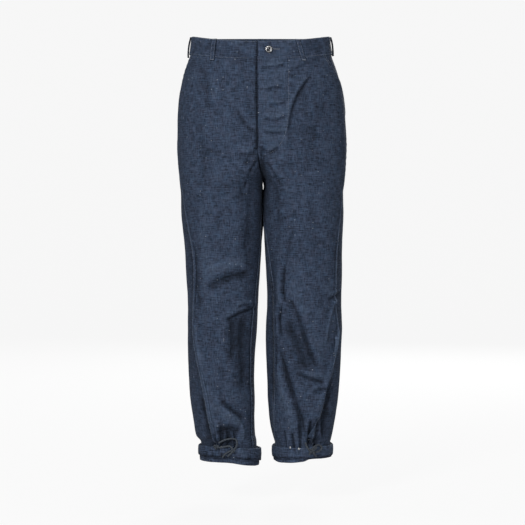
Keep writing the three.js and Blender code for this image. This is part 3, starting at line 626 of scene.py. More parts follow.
def layPanel(name, sideName, isFront, relief, outerTurn, innerTurn, z, angles, columns):
    side = sides[sideName]
    angle, fromOuter, fromInner = spreadColumns(side, z, *angles, columns)
    height = rowHeight(side, angle, z[:, None])
    outward = sectionPoint(side, angle, height)[1]
    grid, fold = creasedPoint(side, angle, height)
    lift = relief(fromOuter, fromInner, height)
    grid += outward * lift[..., None]
    normals = gridNormals(grid, outward)
    panel = {"grid": grid, "normals": normals, "outer": fromOuter, "inner": fromInner}
    whole = np.concatenate([
        turnEdge(grid, normals, edgeTurns[outerTurn], False), grid,
        turnEdge(grid, normals, edgeTurns[innerTurn], True),
    ], axis=1)
    before, after = len(edgeTurns[outerTurn]), len(edgeTurns[innerTurn])
    wholeNormals = gridNormals(whole)
    if (wholeNormals[:, before:-after] * outward).sum() < 0:
        wholeNormals = -wholeNormals
    grainX = side["sign"] * 92
    across = np.array([
        fromOuter[row] - np.interp(side["sign"] * grainX, side["sign"] * grid[row, ::-1, 0],
                                   fromOuter[row, ::-1])
        for row in range(len(z))
    ])
    # Painted shade on the inner thighs, where the legs meet below the fork
    paintedThighShade = np.exp(-((grid[..., 0] - 3.5) / 9) ** 2)
    paintedThighShade = paintedThighShade * smooth(height, -520, -360) * smooth(-height, 225, 300)
    across = np.pad(across, ((0, 0), (before, after)), mode="edge")
    height = np.pad(height, ((0, 0), (before, after)), mode="edge")
    uvs = np.stack([across + 400 * side["sign"] + 1000 * isFront, height], axis=-1)
    edgeRubbingAndShade = edgeWearAndPaintedShade[outerTurn](fromOuter) + edgeWearAndPaintedShade[innerTurn](fromInner)
    # Painted shade in the crease troughs; crease lips and raised seams lighter as rubbed wear
    wornAndPaintedShade = edgeRubbingAndShade + 0.12 * np.clip(lift, 0, 2) + 0.17 * np.clip(fold, -5.5, 0) + 0.2 * np.clip(fold, 0, 2.5) - 0.9 * paintedThighShade
    # Backs: darker within about 30 mm of the side seam
    if not isFront:
        wornAndPaintedShade -= 0.28 * np.exp(-(fromOuter / 32) ** 2)
    flat = grid.reshape(-1, 3)
    wornAndPaintedShade += fadingAndPaintedShade(flat).reshape(wornAndPaintedShade.shape)
    wornAndPaintedShade = np.clip(wornAndPaintedShade, -1, 1)
    wornAndPaintedShade = np.pad(wornAndPaintedShade, ((0, 0), (before, after)), mode="edge")
    piece = addShell(name, whole, wholeNormals, cut["cloth"], uvs, wornAndPaintedShade)
    panel["piece"] = piece
    return panel


def legRows(kind):
    top, hipEnd, steps = cut["waistSeam"] + panelGrid["topUnder"], panelGrid["hipEnd"], panelGrid[kind]
    hip = np.linspace(top, hipEnd, int((top - hipEnd) / steps["hipStep"]), endpoint=False)
    leg = np.linspace(hipEnd, cut["hem"], int((hipEnd - cut["hem"]) / steps["legStep"]))
    return np.concatenate([hip, leg])


flyWidth = 66


def addPanels():
    panels = {}
    frontZ, backZ = legRows("front"), legRows("back")
    for sideName, side in sides.items():
        isLeft = sideName == "left"

        def underBand(height):
            return -0.9 * smooth(height, cut["waistSeam"] - 14, cut["waistSeam"] + 2)

        def frontRelief(fromOuter, fromInner, height):
            pocket = smooth(height, cut["pocketEnd"], cut["pocketEnd"] + 14)
            lift = 0.9 * pocket * (1 - smooth(fromOuter, 9, 14))
            lift += roping(height, fromOuter, 0.35, 7, 12.5, 1 + isLeft)
            lift += roping(height, fromInner, 0.4, 8, 11, 3 + isLeft) * (height < -300)
            fly = smooth(height, -262, -232)
            if isLeft:
                lift += 1.5 * fly * (1 - smooth(fromInner, flyWidth - 6, flyWidth + 3))
                lift += 0.7 * smooth(height, -302, -276) * (1 - smooth(fromInner, 5, 12))
                lift += roping(height, fromInner - flyWidth, 0.35, 6, 13, 5) * fly
            else:
                lift -= 2.6 * smooth(height, -302, -270) * (1 - smooth(fromInner, 0.6, 4.4))
            return lift + underBand(height)

        def backRelief(fromOuter, fromInner, height):
            lift = 0.7 * (1 - smooth(fromOuter, 8, 11)) + 0.6 * (1 - smooth(fromInner, 8, 11))
            lift += roping(height, fromOuter - 5, 0.45, 6, 12, 7 + isLeft)
            lift += roping(height, fromInner - 5, 0.5, 7, 10.5, 9 + isLeft)
            return lift + underBand(height)

        panels["front", sideName] = layPanel(
            "front" + sideName.title(), sideName, True, frontRelief,
            "folded", "flyEdge" if isLeft else "tucked",
            frontZ, (outerEdge(side, frontZ), innerEdge(side, frontZ, True)), panelGrid["front"]["columns"],
        )
        turned = innerEdge(side, backZ, False)
        panels["back", sideName] = layPanel(
            "back" + sideName.title(), sideName, False, backRelief, "seam", "seam",
            backZ, (along(side["outline"], "outseam", backZ),
                    np.where(backZ > cut["fork"], -turned, turned - 360)), panelGrid["back"]["columns"],
        )
        print("panels laid on the", sideName)
    return panels


panels = addPanels()


def declareCloth(piece, nodes, flat, held="draped", area=None):
    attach(piece, "root")
    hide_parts(*nodes)


# Cut sizes in metres: width and length of each pattern piece, and its area
panelCuts = {
    "front": {"flat": (0.32, 0.93), "area": 0.235},
    "back": {"flat": (0.42, 0.95), "area": 0.31},
}
for (kind, sideName), panel in panels.items():
    declareCloth(panel["piece"], [f"{kind}_{sideName}"], **panelCuts[kind])

# Hip piece under each slant pocket's mouth, and the button stand under the fly
pocketFacing = {"overlap": 9, "end": -182, "columns": 22, "under": 1.7}


def addFacing(sideName):
    side = sides[sideName]
    z = legRows("front")
    z = z[z > pocketFacing["end"]]
    seam = along(side["outline"], "outseam", z)
    mouth = np.maximum(along(side["pocket"], "mouth", z), seam)

    def relief(fromOuter, fromInner, height):
        return -pocketFacing["under"] * smooth(fromOuter, 0, 7) - 0.4

    panel = layPanel(
        "hipPiece" + sideName.title(), sideName, True, relief, "seam", "tucked",
        z, (seam, mouth + pocketFacing["overlap"]), pocketFacing["columns"],
    )
    declareCloth(panel["piece"], [f"pocket_facing_{sideName}"], flat=(0.1, 0.17), area=0.012)
    return panel


for sideName in sides:
    addFacing(sideName)

flyStand = {"end": -226, "underRight": 12, "underLeft": 38, "columns": 16, "under": 3.4}


# Angle at which the front reaches a distance from the middle seam
def angleFromSeam(side, z, distance):
    seam = along(middleSeams, "front", z) * side["sign"]
    share = distance / (along(side["outline"], "outer", z) - seam)
    return np.degrees(np.arccos(share ** (squarenessAt(z) / 2)))


def addFlyStand(setup):
    z = legRows("front")
    z = z[z > setup["end"]]
    reach = np.linspace(-setup["underRight"], setup["underLeft"], setup["columns"])
    grid = np.empty((len(z), len(reach), 3))
    outward = np.empty_like(grid)
    for k, distance in enumerate(reach):
        side = sides["left" if distance >= 0 else "right"]
        angle = angleFromSeam(side, z, abs(distance))
        height = rowHeight(side, angle, z)
        outward[:, k] = sectionPoint(side, angle, height)[1]
        grid[:, k] = formPoint(side, angle, height) - outward[:, k] * setup["under"]
    normals = gridNormals(grid, outward)
    uvs = np.stack(np.broadcast_arrays(reach + 2500, grid[..., 2]), axis=-1)
    piece = addShell("flyStand", grid, normals, 1.9, uvs, np.zeros(grid.shape[:2]))
    declareCloth(piece, ["fly_stand"], flat=(0.055, 0.22))


addFlyStand(flyStand)

# Waistband: a folded strip on each side, with the fronts and backs sewn between its two walls
waistband = {
    "stations": 132,
    "proud": 0.8,
    "lining": -2.6,  # how far in the inner wall lies
    "fold": 1.7,  # radius of the fold along its top
    "under": 3.7,  # how much deeper the right end lies under the left one
    "underlap": 36,
    "slopeFrom": 81,
    "flat": (0.086, 0.43),
}


# The strip's wall as distances out and shares of its height, from inside the lower hem, up, over
# the top fold and down again
def bandProfile(setup):
    outside, lining, fold = setup["proud"], setup["lining"], setup["fold"]
    height = cut["bandHeight"]
    profile = [(outside - 1.1, 5), (outside - 1.15, 1.2), (outside - 0.75, 0.3), (outside - 0.1, 0.2)]
    profile += [(outside + 0.35 * math.sin(math.pi * min(h / 9, 1)), h)
                for h in (0.8, 1.7, 2.6, 4, 6, 8)]
    profile += [(outside, h) for h in np.linspace(10.5, height - 8, 8)]
    profile += [(outside + 0.2, height - 5.5), (outside + 0.1, height - 3.4), (outside, height - fold)]
    centre = (outside + lining) / 2
    for turn in np.linspace(25, 155, 6):
        profile.append((centre + (outside - centre) * math.cos(math.radians(turn)),
                        height - fold + fold * math.sin(math.radians(turn))))
    profile += [(lining, h) for h in np.linspace(height - fold, 0.6, 9)]
    return profile


def addWaistband(sideName, setup):
    side = sides[sideName]
    angles = np.concatenate([[90, 89.7, 89.2], np.linspace(88.6, -90, setup["stations"])])
    stations = [(side, angle, 0.0) for angle in angles]
    if sideName == "right":
        slope = smooth(angles, setup["slopeFrom"], 89)
        stations = [(side, a, setup["under"] * s) for a, s in zip(angles, slope)]
        under = np.linspace(setup["underlap"], 2, 12)
        left = sides["left"]
        stations = [(left, float(angleFromSeam(left, cut["waistSeam"], d)), setup["under"])
                    for d in under] + stations
    profile = np.array(bandProfile(setup))
    grid = np.empty((len(stations), len(profile), 3))
    outward = np.empty_like(grid)
    for k, (own, angle, inset) in enumerate(stations):
        z = cut["waistSeam"] + profile[:, 1] + waistRise(angle)
        point, outward[k] = sectionPoint(own, angle, z)
        grid[k] = point + outward[k] * (profile[:, :1] - inset)
    closing = np.ones(len(stations))
    closing[:4] = (0.15, 0.6, 0.9, 1)  # the two walls come together at the front end
    middle = (setup["proud"] + setup["lining"]) / 2
    grid -= outward * ((profile[:, 0] - middle) * (1 - closing[:, None]))[..., None]
    flat = grid.reshape(-1, 3)
    ripple = (0.5 * noiseAt(flat * (1, 1, 0.35), 7, 11) + 0.9 * noiseAt(flat, 26, 12)) \
        * smooth(profile[:, 0], setup["lining"], setup["proud"])[None, :].repeat(len(stations), 0).ravel()
    grid += outward * (ripple + 0.6 * creaseLift(flat)).reshape(grid.shape[:2])[..., None]
    normals = gridNormals(grid)
    if (normals[:, 12] * outward[:, 12]).sum() < 0:
        normals = -normals
    run = np.cumsum(np.linalg.norm(np.diff(grid[:, 12], axis=0, prepend=grid[:1, 12]), axis=1))
    around = np.cumsum(np.linalg.norm(np.diff(grid, axis=1, prepend=grid[:, :1]), axis=2), axis=1)
    uvs = np.stack([np.broadcast_to(run[:, None], around.shape), around + 3000], axis=-1)
    edges = np.exp(-((profile[:, 1] - cut["bandHeight"]) / 1.6) ** 2) + np.exp(-(profile[:, 1] / 1.4) ** 2)
    # Painted shade at the band's front end by the fly: along the left band's edge and where the right band comes out
    # from under it
    fromEnd = np.abs(run - run[np.abs(angles[0] - 90) < 0.1 and (12 if sideName == "right" else 0)])
    ends = np.exp(-(fromEnd / (3.2 if sideName == "right" else 1.2)) ** 2)
    mottle = fadingAndPaintedShade(grid.reshape(-1, 3)).reshape(grid.shape[:2])
    wear = np.clip(0.55 * edges + 1.3 * mottle - 1.5 * ends[:, None], -1, 1)
    piece = addShell("waistband" + sideName.title(), grid, normals, cut["cloth"], uvs, wear)
    declareCloth(piece, [f"waistband_{sideName}"], flat=setup["flat"], held="folded")
    return {"grid": grid, "normals": normals, "profile": profile, "piece": piece}


bands = {sideName: addWaistband(sideName, waistband) for sideName in sides}
print("waistband sewn on")

# Belt loops. below is how far the lower end reaches past the waist seam, and lean how far the top
# stands to the wearer's left of the foot
loopForm = {"width": 11, "thick": 1.7, "proud": 0.5, "bowShape": 0.6, "stations": 30, "flat": (0.012, 0.05)}
loops = {
    "FrontLeft": {"node": "loop_front_left", "side": "left", "angle": 59.2, "lean": -9, "below": 7, "bow": 2.6},
    "FrontRight": {"node": "loop_front_right", "side": "right", "angle": 54, "lean": 0, "below": 7, "bow": 2.6},
    "SideLeft": {"node": "loop_side_left", "side": "left", "angle": -4, "lean": 0, "below": 2, "bow": 3.4},
    "SideRight": {"node": "loop_side_right", "side": "right", "angle": -3, "lean": 0, "below": 6, "bow": 3.4},
    "BackLeft": {"node": "loop_back_left", "side": "left", "angle": -52, "lean": 0, "below": 7, "bow": 2.6},
    "BackRight": {"node": "loop_back_right", "side": "right", "angle": -52, "lean": 0, "below": 7, "bow": 2.6},
    "BackCentre": {"node": "loop_back_centre", "side": "left", "angle": -90, "lean": 0, "below": 7, "bow": 2.6},
}
loopAcross = [(-5.5, -1.2), (-5.3, -0.5), (-4.7, -0.12), (-3.6, -0.22), (-2.4, 0), (0, 0.08),
              (2.4, 0), (3.6, -0.22), (4.7, -0.12), (5.3, -0.5), (5.5, -1.2)]


def addLoop(name, setup):
    side, angle = sides[setup["side"]], setup["angle"]
    seam = cut["waistSeam"] + float(waistRise(angle))
    bottom = seam - setup["below"]
    top = seam + cut["bandHeight"] + loopForm["proud"]
    up = np.linspace(0, 1, loopForm["stations"])
    z = bottom + (top - bottom) * up
    beside = sectionPoint(side, [angle + 1, angle - 1], cut["waistSeam"])[0]
    across = beside[0] - beside[1]
    across *= math.copysign(1, across[0] or 1) * side["sign"] / np.linalg.norm(across)
    point, outward = sectionPoint(side, angle, z)
    rest = 1.0 + (waistband["proud"] + 0.7 - 1.0) * smooth(z, bottom, seam)
    lift = rest + setup["bow"] * np.sin(np.pi * up) ** loopForm["bowShape"] + loopForm["thick"]
    widths = np.array(loopAcross) * (loopForm["width"] / 11, 1)
    lean = setup["lean"] * (up - 0.5)
    wobble = 0.35 * np.sin(up * 7 + angle)
    grid = (point[:, None] + across * (widths[None, :, :1] + (lean + wobble)[:, None, None])
            + outward[:, None] * (lift[:, None] + widths[None, :, 1])[..., None])
    normals = gridNormals(grid, outward[:, None])
    uvs = np.stack([np.broadcast_to(widths[:, 0], grid.shape[:2]) + 60 * angle,
                    np.broadcast_to((up * 50)[:, None], grid.shape[:2])], axis=-1)
    # Lighter rubbed lines near the loop's stitched edges; painted shade on its sides past 5 mm, and side loops
    # painted darker all over
    edges = 0.4 * np.exp(-((np.abs(widths[:, 0]) - 4.3) / 0.6) ** 2) - 1.0 * (np.abs(widths[:, 0]) > 5)
    if name.startswith("Side"):
        edges -= 0.8
    ends = 0.5 * np.exp(-((up - 0.03) / 0.05) ** 2)
    wear = np.clip(edges + ends[:, None], -1, 1)
    thick = loopForm["thick"] + (1.2 if name.startswith("Side") else 0)
    piece = addShell("beltLoop" + name, grid, normals, thick, uvs, wear)
    declareCloth(piece, [setup["node"]], flat=loopForm["flat"], held="folded")
    return {"grid": grid, "normals": normals}


loopGrids = {name: addLoop(name, setup) for name, setup in loops.items()}

# Rolled cuffs: rings of cloth with a closed profile
cuffForm = {
    "columns": 190,
    "first": {"inside": 0.7, "outside": 3.1, "lip": 3, "belowTop": 2},
    "second": {"inside": 3.5, "outside": 6.7},
    "flat": {"inner": (0.05, 0.4), "outer": (0.032, 0.42)},
}


def firstTurnProfile(top, step, bottom, bulge):
    form = cuffForm["first"]
    outside = form["outside"] + bulge / 2
    lip = bottom + form["lip"]
    profile = [(-2, lip), (-2, bottom + 1.2), (-1.4, bottom + 0.4), (-0.4, bottom)]
    profile += [(outside - 1.3, bottom), (outside - 0.5, bottom + 0.4), (outside, bottom + 1.3)]
    profile += [(outside + 0.5 * math.sin(math.pi * u), bottom + 1.3 + (step - bottom) * u)
                for u in (0.2, 0.4, 0.6, 0.8, 1)]
    end = top - form["belowTop"]
    profile += [(outside, end - 0.6), (outside - 0.6, end), (form["inside"] + 0.5, end)]
    profile += [(form["inside"], end - 0.6), (form["inside"], (end + lip) / 2), (form["inside"], lip)]
    return profile


def secondTurnProfile(top, step, bottom, bulge):
    inside, outside = cuffForm["second"]["inside"] + bulge / 2, cuffForm["second"]["outside"] + bulge
    tall = top - step
    profile = [(inside, step + 1.6), (inside + 0.5, step + 0.4), (inside + 1.3, step)]
    profile += [(outside - 1.2, step), (outside - 0.3, step + 0.7), (outside + 0.1, step + 2)]
    profile += [(outside + 0.45 * math.sin(math.pi * u), step + 2 + (tall - 4) * u)
                for u in (0.12, 0.25, 0.38, 0.5, 0.62, 0.75, 0.88, 1)]
    profile += [(outside - 0.35, top - 0.8), (outside - 1.2, top), (inside + 1.1, top)]
    profile += [(inside + 0.3, top - 0.7), (inside, top - 2), (inside, (top + step) / 2)]
    return profile


def cuffPlace(side, angle, z, distance):
    point, outward = sectionPoint(side, angle, cut["hem"])
    point = point + outward * np.asarray(distance, float)[..., None]
    point[..., 2] = z
    return point, np.broadcast_to(outward, point.shape)


def addCuff(sideName, turn, profileOf, seed):
    side = sides[sideName]
    angles = np.linspace(0, 360, cuffForm["columns"], endpoint=False)
    rows = {name: along(side["cuff"], name, angles, "angle") for name in ("top", "step", "bottom", "bulge")}
    rim = cuffPlace(side, angles, 0, 0)[0]
    rows["top"] = rows["top"] + 1.1 * noiseAt(rim, 13, seed) + 0.9 * noiseAt(rim, 31, seed + 1)
    rows["step"] = rows["step"] + 1.0 * noiseAt(rim, 24, seed + 2)
    rows["bottom"] = rows["bottom"] + 0.7 * noiseAt(rim, 30, seed + 3)
    grid, outward = [], []
    for k, angle in enumerate(angles):
        profile = np.array(profileOf(*(rows[name][k] for name in ("top", "step", "bottom", "bulge"))))
        point, out = cuffPlace(side, angle, profile[:, 1], profile[:, 0])
        grid.append(point)
        outward.append(out)
    grid, outward = np.array(grid), np.array(outward)
    flat = grid.reshape(-1, 3)
    lift = 0.75 * noiseAt(flat * (1, 1, 0.55), 9, seed + 4) + 0.6 * noiseAt(flat, 24, seed + 5)
    if turn == "outer":
        high = smooth(flat[:, 2], rows["top"].mean() - 14, rows["top"].mean() - 4)
        lift += 0.55 * noiseAt(flat * (1, 1, 0.2), 4.2, seed + 6) * high
    grid += outward * lift.reshape(grid.shape[:2])[..., None]
    count, corners = grid.shape[:2]
    faces = []
    for s in range(count):
        for c in range(corners):
            a, b = s * corners + c, s * corners + (c + 1) % corners
            nextS = (s + 1) % count
            faces.append((a, b, nextS * corners + (c + 1) % corners, nextS * corners + c))
    around = np.cumsum(np.linalg.norm(np.diff(grid, axis=1, prepend=grid[:, :1]), axis=2), axis=1)
    run = np.cumsum(np.linalg.norm(np.diff(rim, axis=0, prepend=rim[:1]), axis=1))
    uvs = np.stack([np.broadcast_to(run[:, None], around.shape) + 77 * seed, around], axis=-1)
    # Top fold lighter as rubbed wear; painted shade along the step where the second turn overlaps the first
    wear = 0.6 * np.exp(-((grid[..., 2] - rows["top"][:, None]) / 1.3) ** 2)
    wear += 0.12 - 0.85 * np.exp(-((grid[..., 2] - rows["step"][:, None] - (1.5 if turn == "outer" else -3)) / 2.4) ** 2)
    wear = np.clip(wear + 1.6 * fadingAndPaintedShade(flat).reshape(wear.shape), -1, 1)
    piece = addMesh(f"cuff{sideName.title()}{turn.title()}", flat, faces, uvs.reshape(-1, 2),
                    {"wear": wear.ravel()})
    fixFacing(piece)
    declareCloth(piece, [f"cuff_{sideName}_{turn}"], flat=cuffForm["flat"][turn], held="folded")
    return {"grid": grid, "rows": rows, "angles": angles}


# Turns a closed mesh so that its faces point out
def fixFacing(piece):
    mesh = piece.data
    volume = 0.0
    for polygon in mesh.polygons:
        points = [mesh.vertices[i].co for i in polygon.vertices]
        for k in range(1, len(points) - 1):
            volume += points[0].dot(points[k].cross(points[k + 1]))
    if volume < 0:
        mesh.flip_normals()


for sideName, seed in (("left", 20), ("right", 40)):
    addCuff(sideName, "inner", firstTurnProfile, seed)
    addCuff(sideName, "outer", secondTurnProfile, seed + 10)
print("cuffs rolled")

# Waistband button: a dark metal ring with a sunk middle, as radius and height
button = {"angle": 83.6, "z": -17, "radius": 8, "seat": 0.9, "turns": 72}
buttonProfile = [
    (0, 0), (0.6, 0), (0.88, 0.3), (0.97, 0.9), (1, 1.7), (0.97, 2.5), (0.88, 3.2), (0.76, 3.5),
    (0.64, 3.4), (0.55, 2.9), (0.5, 2.2), (0.42, 1.9), (0.33, 1.85), (0.3, 2.1), (0.24, 2.45),
    (0.14, 2.6), (0, 2.65),
]


def addLathe(name, profile, turns, place, normal):
    points, faces = [], []
    steps = len(profile)
    for t in range(turns):
        turn = 2 * math.pi * t / turns
        points += [(r * math.cos(turn), r * math.sin(turn), h) for r, h in profile]
    for t in range(turns):
        for c in range(steps - 1):
            a, b = t * steps + c, (t + 1) % turns * steps + c
            faces.append((a, b, b + 1, a + 1))
    turned = Vector((0, 0, 1)).rotation_difference(Vector(normal)).to_matrix()
    points = np.array(points) @ np.array(turned).T + np.array(place)
    piece = addMesh(name, points, faces)
    piece.data.validate()
    weld = piece.modifiers.new("weld", "WELD")
    weld.merge_threshold = 0.00001
    applyModifiers(piece)
    fixFacing(piece)
    return piece


def applyModifiers(piece):
    depsgraph = bpy.context.evaluated_depsgraph_get()
    made = bpy.data.meshes.new_from_object(piece.evaluated_get(depsgraph))
    old = piece.data
    piece.modifiers.clear()
    piece.data = made
    made.name = old.name
    bpy.data.meshes.remove(old)


def addButton(setup):
    place, normal = bandFace("left", setup["angle"], setup["z"])
    place = place + normal * setup["seat"]
    piece = addLathe("waistbandButton", [(r * setup["radius"], h) for r, h in buttonProfile],
                     setup["turns"], place, normal)
    for polygon in piece.data.polygons:
        reach = (np.array(polygon.center) / mm - place)
        reach = np.linalg.norm(reach - normal * (reach @ normal)) / setup["radius"]
        polygon.material_index = int(0.5 < reach < 0.93)
    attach(piece, "root")
    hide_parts("waistband_button")
    return piece, place, normal


# A point on the outside of the waistband, by angle and height, and the normal there
def bandFace(sideName, angle, z):
    side = sides[sideName]
    point, outward = sectionPoint(side, angle, z)
    above, ahead = sectionPoint(side, angle, z + 4)[0], sectionPoint(side, angle + 1, z)[0]
    normal = np.cross(ahead - point, above - point)
    normal /= np.linalg.norm(normal)
    normal *= math.copysign(1, normal @ outward)
    return point + normal * waistband["proud"], normal


buttonPiece, buttonPlace, buttonNormal = addButton(button)

# Hem drawcords. Each route is the cord's middle line, from its eyelet to its free end
tieCord = {"diameter": 4.2, "sides": 14, "step": 0.8, "strands": 3, "relief": 0.22, "pitch": 6.5}
tieRoutes = {
    "Right": [
        (-95, -71.6, -889), (-88, -74, -884.5), (-79, -73.8, -881), (-67, -71.4, -879.2),
        (-58, -69.4, -881.5), (-54.5, -70, -888), (-56, -75, -895.7), (-61.5, -78.8, -902.6),
        (-73, -79.4, -908), (-81, -78.6, -913), (-87, -77, -920.5),
    ],
    "Left": [
        (98, -72.5, -888.5), (101.5, -77.9, -897.5), (108, -77.8, -905.5), (117, -74.4, -908.5),
        (127, -68.8, -908), (134.5, -64.2, -901), (128.5, -68.4, -893.6), (119, -75.6, -895.5),
        (113.6, -80, -902.5), (116.5, -79.8, -911), (122, -74.2, -919),
    ],
}


# A rope-like tube along a line, with its strands twisted round it
def addRope(name, line, setup, closed=False):
    line = np.asarray(line)
    count = len(line)
    ahead = np.roll(line, -1, axis=0) - np.roll(line, 1, axis=0) if closed else np.gradient(line, axis=0)
    ahead /= np.linalg.norm(ahead, axis=1, keepdims=True)
    side = np.cross(ahead[0], (0, 0, 1))
    side /= np.linalg.norm(side)
    length = np.cumsum(np.linalg.norm(np.diff(line, axis=0, prepend=line[:1]), axis=1))
    turn = np.linspace(0, 2 * math.pi, setup["sides"], endpoint=False)
    points = []
    for k in range(count):
        side = side - ahead[k] * (side @ ahead[k])
        side /= np.linalg.norm(side)
        up = np.cross(ahead[k], side)
        twist = 2 * math.pi * length[k] / setup["pitch"]
        lobes = np.abs(np.cos(setup["strands"] * (turn - twist / setup["strands"]) / 2))
        radius = setup["diameter"] / 2 + setup["relief"] * (lobes - 0.8)
        points.append(line[k] + radius[:, None] * (np.cos(turn)[:, None] * side + np.sin(turn)[:, None] * up))
    points = np.array(points)
    n = setup["sides"]
    faces = [(k * n + c, k * n + (c + 1) % n, (k + 1) % count * n + (c + 1) % n, (k + 1) % count * n + c)
             for k in range(count if closed else count - 1) for c in range(n)]
    points = points.reshape(-1, 3)
    if not closed:
        tips = np.array([line[0] - ahead[0] * 0.5, line[-1] + ahead[-1] * 0.5])
        points = np.vstack([points, tips])
        faces += [((c + 1) % n, c, count * n) for c in range(n)]
        faces += [((count - 1) * n + c, (count - 1) * n + (c + 1) % n, count * n + 1) for c in range(n)]
    uvs = np.stack([np.tile(turn * setup["diameter"] / 2, count), np.repeat(length, n)], axis=-1)
    if not closed:
        uvs = np.vstack([uvs, [(0, 0), (0, length[-1])]])
    piece = addMesh(name, points, faces, uvs)
    fixFacing(piece)
    return piece


def lineLength(line):
    return float(np.linalg.norm(np.diff(line, axis=0), axis=1).sum())


# An overhand knot pulled tight, seen from outside
def addKnot(name, place, normal, size, diameter):
    t = np.linspace(0, 2 * math.pi, 90, endpoint=False)
    across = np.cross(normal, (0, 0, 1))
    across /= np.linalg.norm(across)
    up = np.cross(across, normal)
    ring = np.stack([np.sin(t) + 2 * np.sin(2 * t), np.cos(t) - 2 * np.cos(2 * t), -np.sin(3 * t)], axis=-1)
    ring *= (size / 6, size / 6.6, size / 3.6)
    line = place + ring[:, :1] * across + ring[:, 1:2] * up + ring[:, 2:] * normal
    return addRope(name, line, {**tieCord, "diameter": diameter, "sides": 12}, closed=True)


def evenLine(route):
    smoothed = softLine(route, 400)
    count = int(lineLength(smoothed) / tieCord["step"])
    at = np.cumsum(np.linalg.norm(np.diff(smoothed, axis=0, prepend=smoothed[:1]), axis=1))
    even = np.linspace(0, at[-1], count)
    return np.stack([np.interp(even, at, smoothed[:, k]) for k in range(3)], axis=-1)


def addTie(name, route, knots):
    line = evenLine(route)
    piece = addRope("tieCord" + name, line, tieCord)
    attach(piece, "root")
    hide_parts("tie_cord_" + name.lower())
    made = []
    for k, (place, size) in enumerate(knots):
        knot = addKnot(f"tieKnot{name}{k + 1}", np.array(place), np.array((0, -1, 0.15)), size, 3)
        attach(knot, "root")
        made.append(knot)
    for k, strand in enumerate(tieStrands[name]):
        rope = addRope(f"tieStrand{name}{k + 1}", evenLine(strand), tieCord)
        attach(rope, "root")
        made.append(rope)
    return [piece] + made


tieKnots = {
    "Right": [((-101, -74.5, -897), 10), ((-63, -80.8, -904.5), 8.5)],
    "Left": [((112, -79.8, -905), 10.5), ((120, -77.5, -899), 6)],
}
# Second strands of each bow, from knot to knot or to a free end
tieStrands = {
    "Right": [
        [(-100, -74.8, -897), (-91, -76.6, -898.5), (-80, -78.6, -896), (-70, -78.4, -895.5), (-63, -80.6, -903)],
        [(-64, -81, -905), (-68, -81.6, -911), (-72.5, -80.8, -914.5), (-75, -80, -918)],
    ],
    "Left": [[(111, -80.6, -906), (108, -80.8, -910.5), (106.5, -79.6, -915)]],
}
cordPieces = [piece for name in tieRoutes for piece in addTie(name, tieRoutes[name], tieKnots[name])]
print("ties tied")

# Sewing. Each row of stitches is a line on the cloth, and all rows of a thread join into one mesh
thread = {"length": 2.6, "gap": 0.75, "width": 0.62, "height": 0.34}
stitchLines = {"Front": [], "Back": [], "Waist": [], "Cuffs": []}


# Stitches along a line of points, whose normals lift them off the cloth
def stitches(group, points, normals, form=thread, skip=0.0):
    points, normals = np.asarray(points), np.asarray(normals)
    at = np.cumsum(np.linalg.norm(np.diff(points, axis=0, prepend=points[:1]), axis=1))
    pitch = form["length"] + form["gap"]
    centres = np.arange(pitch / 2 + skip, at[-1] - pitch / 2, pitch)
    if len(centres):
        stitchLines[group].append((at, points, normals, centres, form))


def stitchMesh(name, rows):
    corners = [(-0.5, 0, 0.1), (-0.28, 1, 0.55), (-0.28, 0, 1), (-0.28, -1, 0.55), (-0.28, 0, -0.2),
               (0.28, 1, 0.55), (0.28, 0, 1), (0.28, -1, 0.55), (0.28, 0, -0.2), (0.5, 0, 0.1)]
    pattern = []
    for k in range(4):
        n = (k + 1) % 4
        pattern += [(0, 1 + n, 1 + k), (1 + k, 1 + n, 5 + n, 5 + k), (9, 5 + k, 5 + n)]
    points, faces = [], []
    for at, line, normals, centres, form in rows:
        def on(values, where):
            return np.stack([np.interp(where, at, values[:, k]) for k in range(3)], axis=-1)

        half = form["length"] / 2
        start, end = on(line, centres - half), on(line, centres + half)
        middle, up = on(line, centres), on(normals, centres)
        ahead = (end - start) / np.linalg.norm(end - start, axis=1, keepdims=True)
        up /= np.linalg.norm(up, axis=1, keepdims=True)
        beside = np.cross(ahead, up)
        for x, y, z in corners:
            lift = form["height"] * z
            corner = middle + ahead * x * form["length"] + beside * y * form["width"] / 2 + up * lift
            points.append(corner)
        count, base = len(centres), sum(len(p) for p in points[:-10])
        for s in range(count):
            faces += [tuple(base + corner * count + s for corner in face) for face in pattern]
    return addMesh(name, np.concatenate(points), faces)


# The line at a distance in from one edge of a panel, between two heights
def edgeLine(panel, edge, distance, top, bottom):
    grid, normals, arcs = panel["grid"], panel["normals"], panel[edge]
    points, ups = [], []
    for row in range(len(grid)):
        order = slice(None) if edge == "outer" else slice(None, None, -1)
        arc = arcs[row, order]
        point = np.array([np.interp(distance, arc, grid[row, order, k]) for k in range(3)])
        if bottom < point[2] < top:
            points.append(point)
            ups.append([np.interp(distance, arc, normals[row, order, k]) for k in range(3)])
    return np.array(points), np.array(ups)


# A line over the left front through points given by x and z
def frontLine(panel, runs):
    grid, normals = panel["grid"], panel["normals"]
    points, ups = [], []
    for x, z in softLine(runs, 60):
        row = int(np.abs(grid[:, -12, 2] - z).argmin())
        order = np.argsort(grid[row, :, 0])
        points.append([np.interp(x, grid[row, order, 0], grid[row, order, k]) for k in range(3)])
        ups.append([np.interp(x, grid[row, order, 0], normals[row, order, k]) for k in range(3)])
    points = np.array(points)
    points[:, 1:] = np.stack([points[:, 1], softLine(runs, 60)[:, 1]], axis=-1)
    return points, np.array(ups)


# A bar tack: short stitches side by side across the end of something
def barTack(group, place, across, up, normal, wide, tall, count):
    for k in range(count):
        middle = place + across * wide * ((k + 0.5) / count - 0.5)
        ends = np.array([middle - up * tall / 2, middle + up * tall / 2])
        form = {"length": tall * 0.96, "gap": 0, "width": 1.15 * wide / count, "height": 0.5}
        stitchLines[group].append((np.array([0, tall]), ends, np.array([normal, normal]),
                                   np.array([tall / 2]), form))


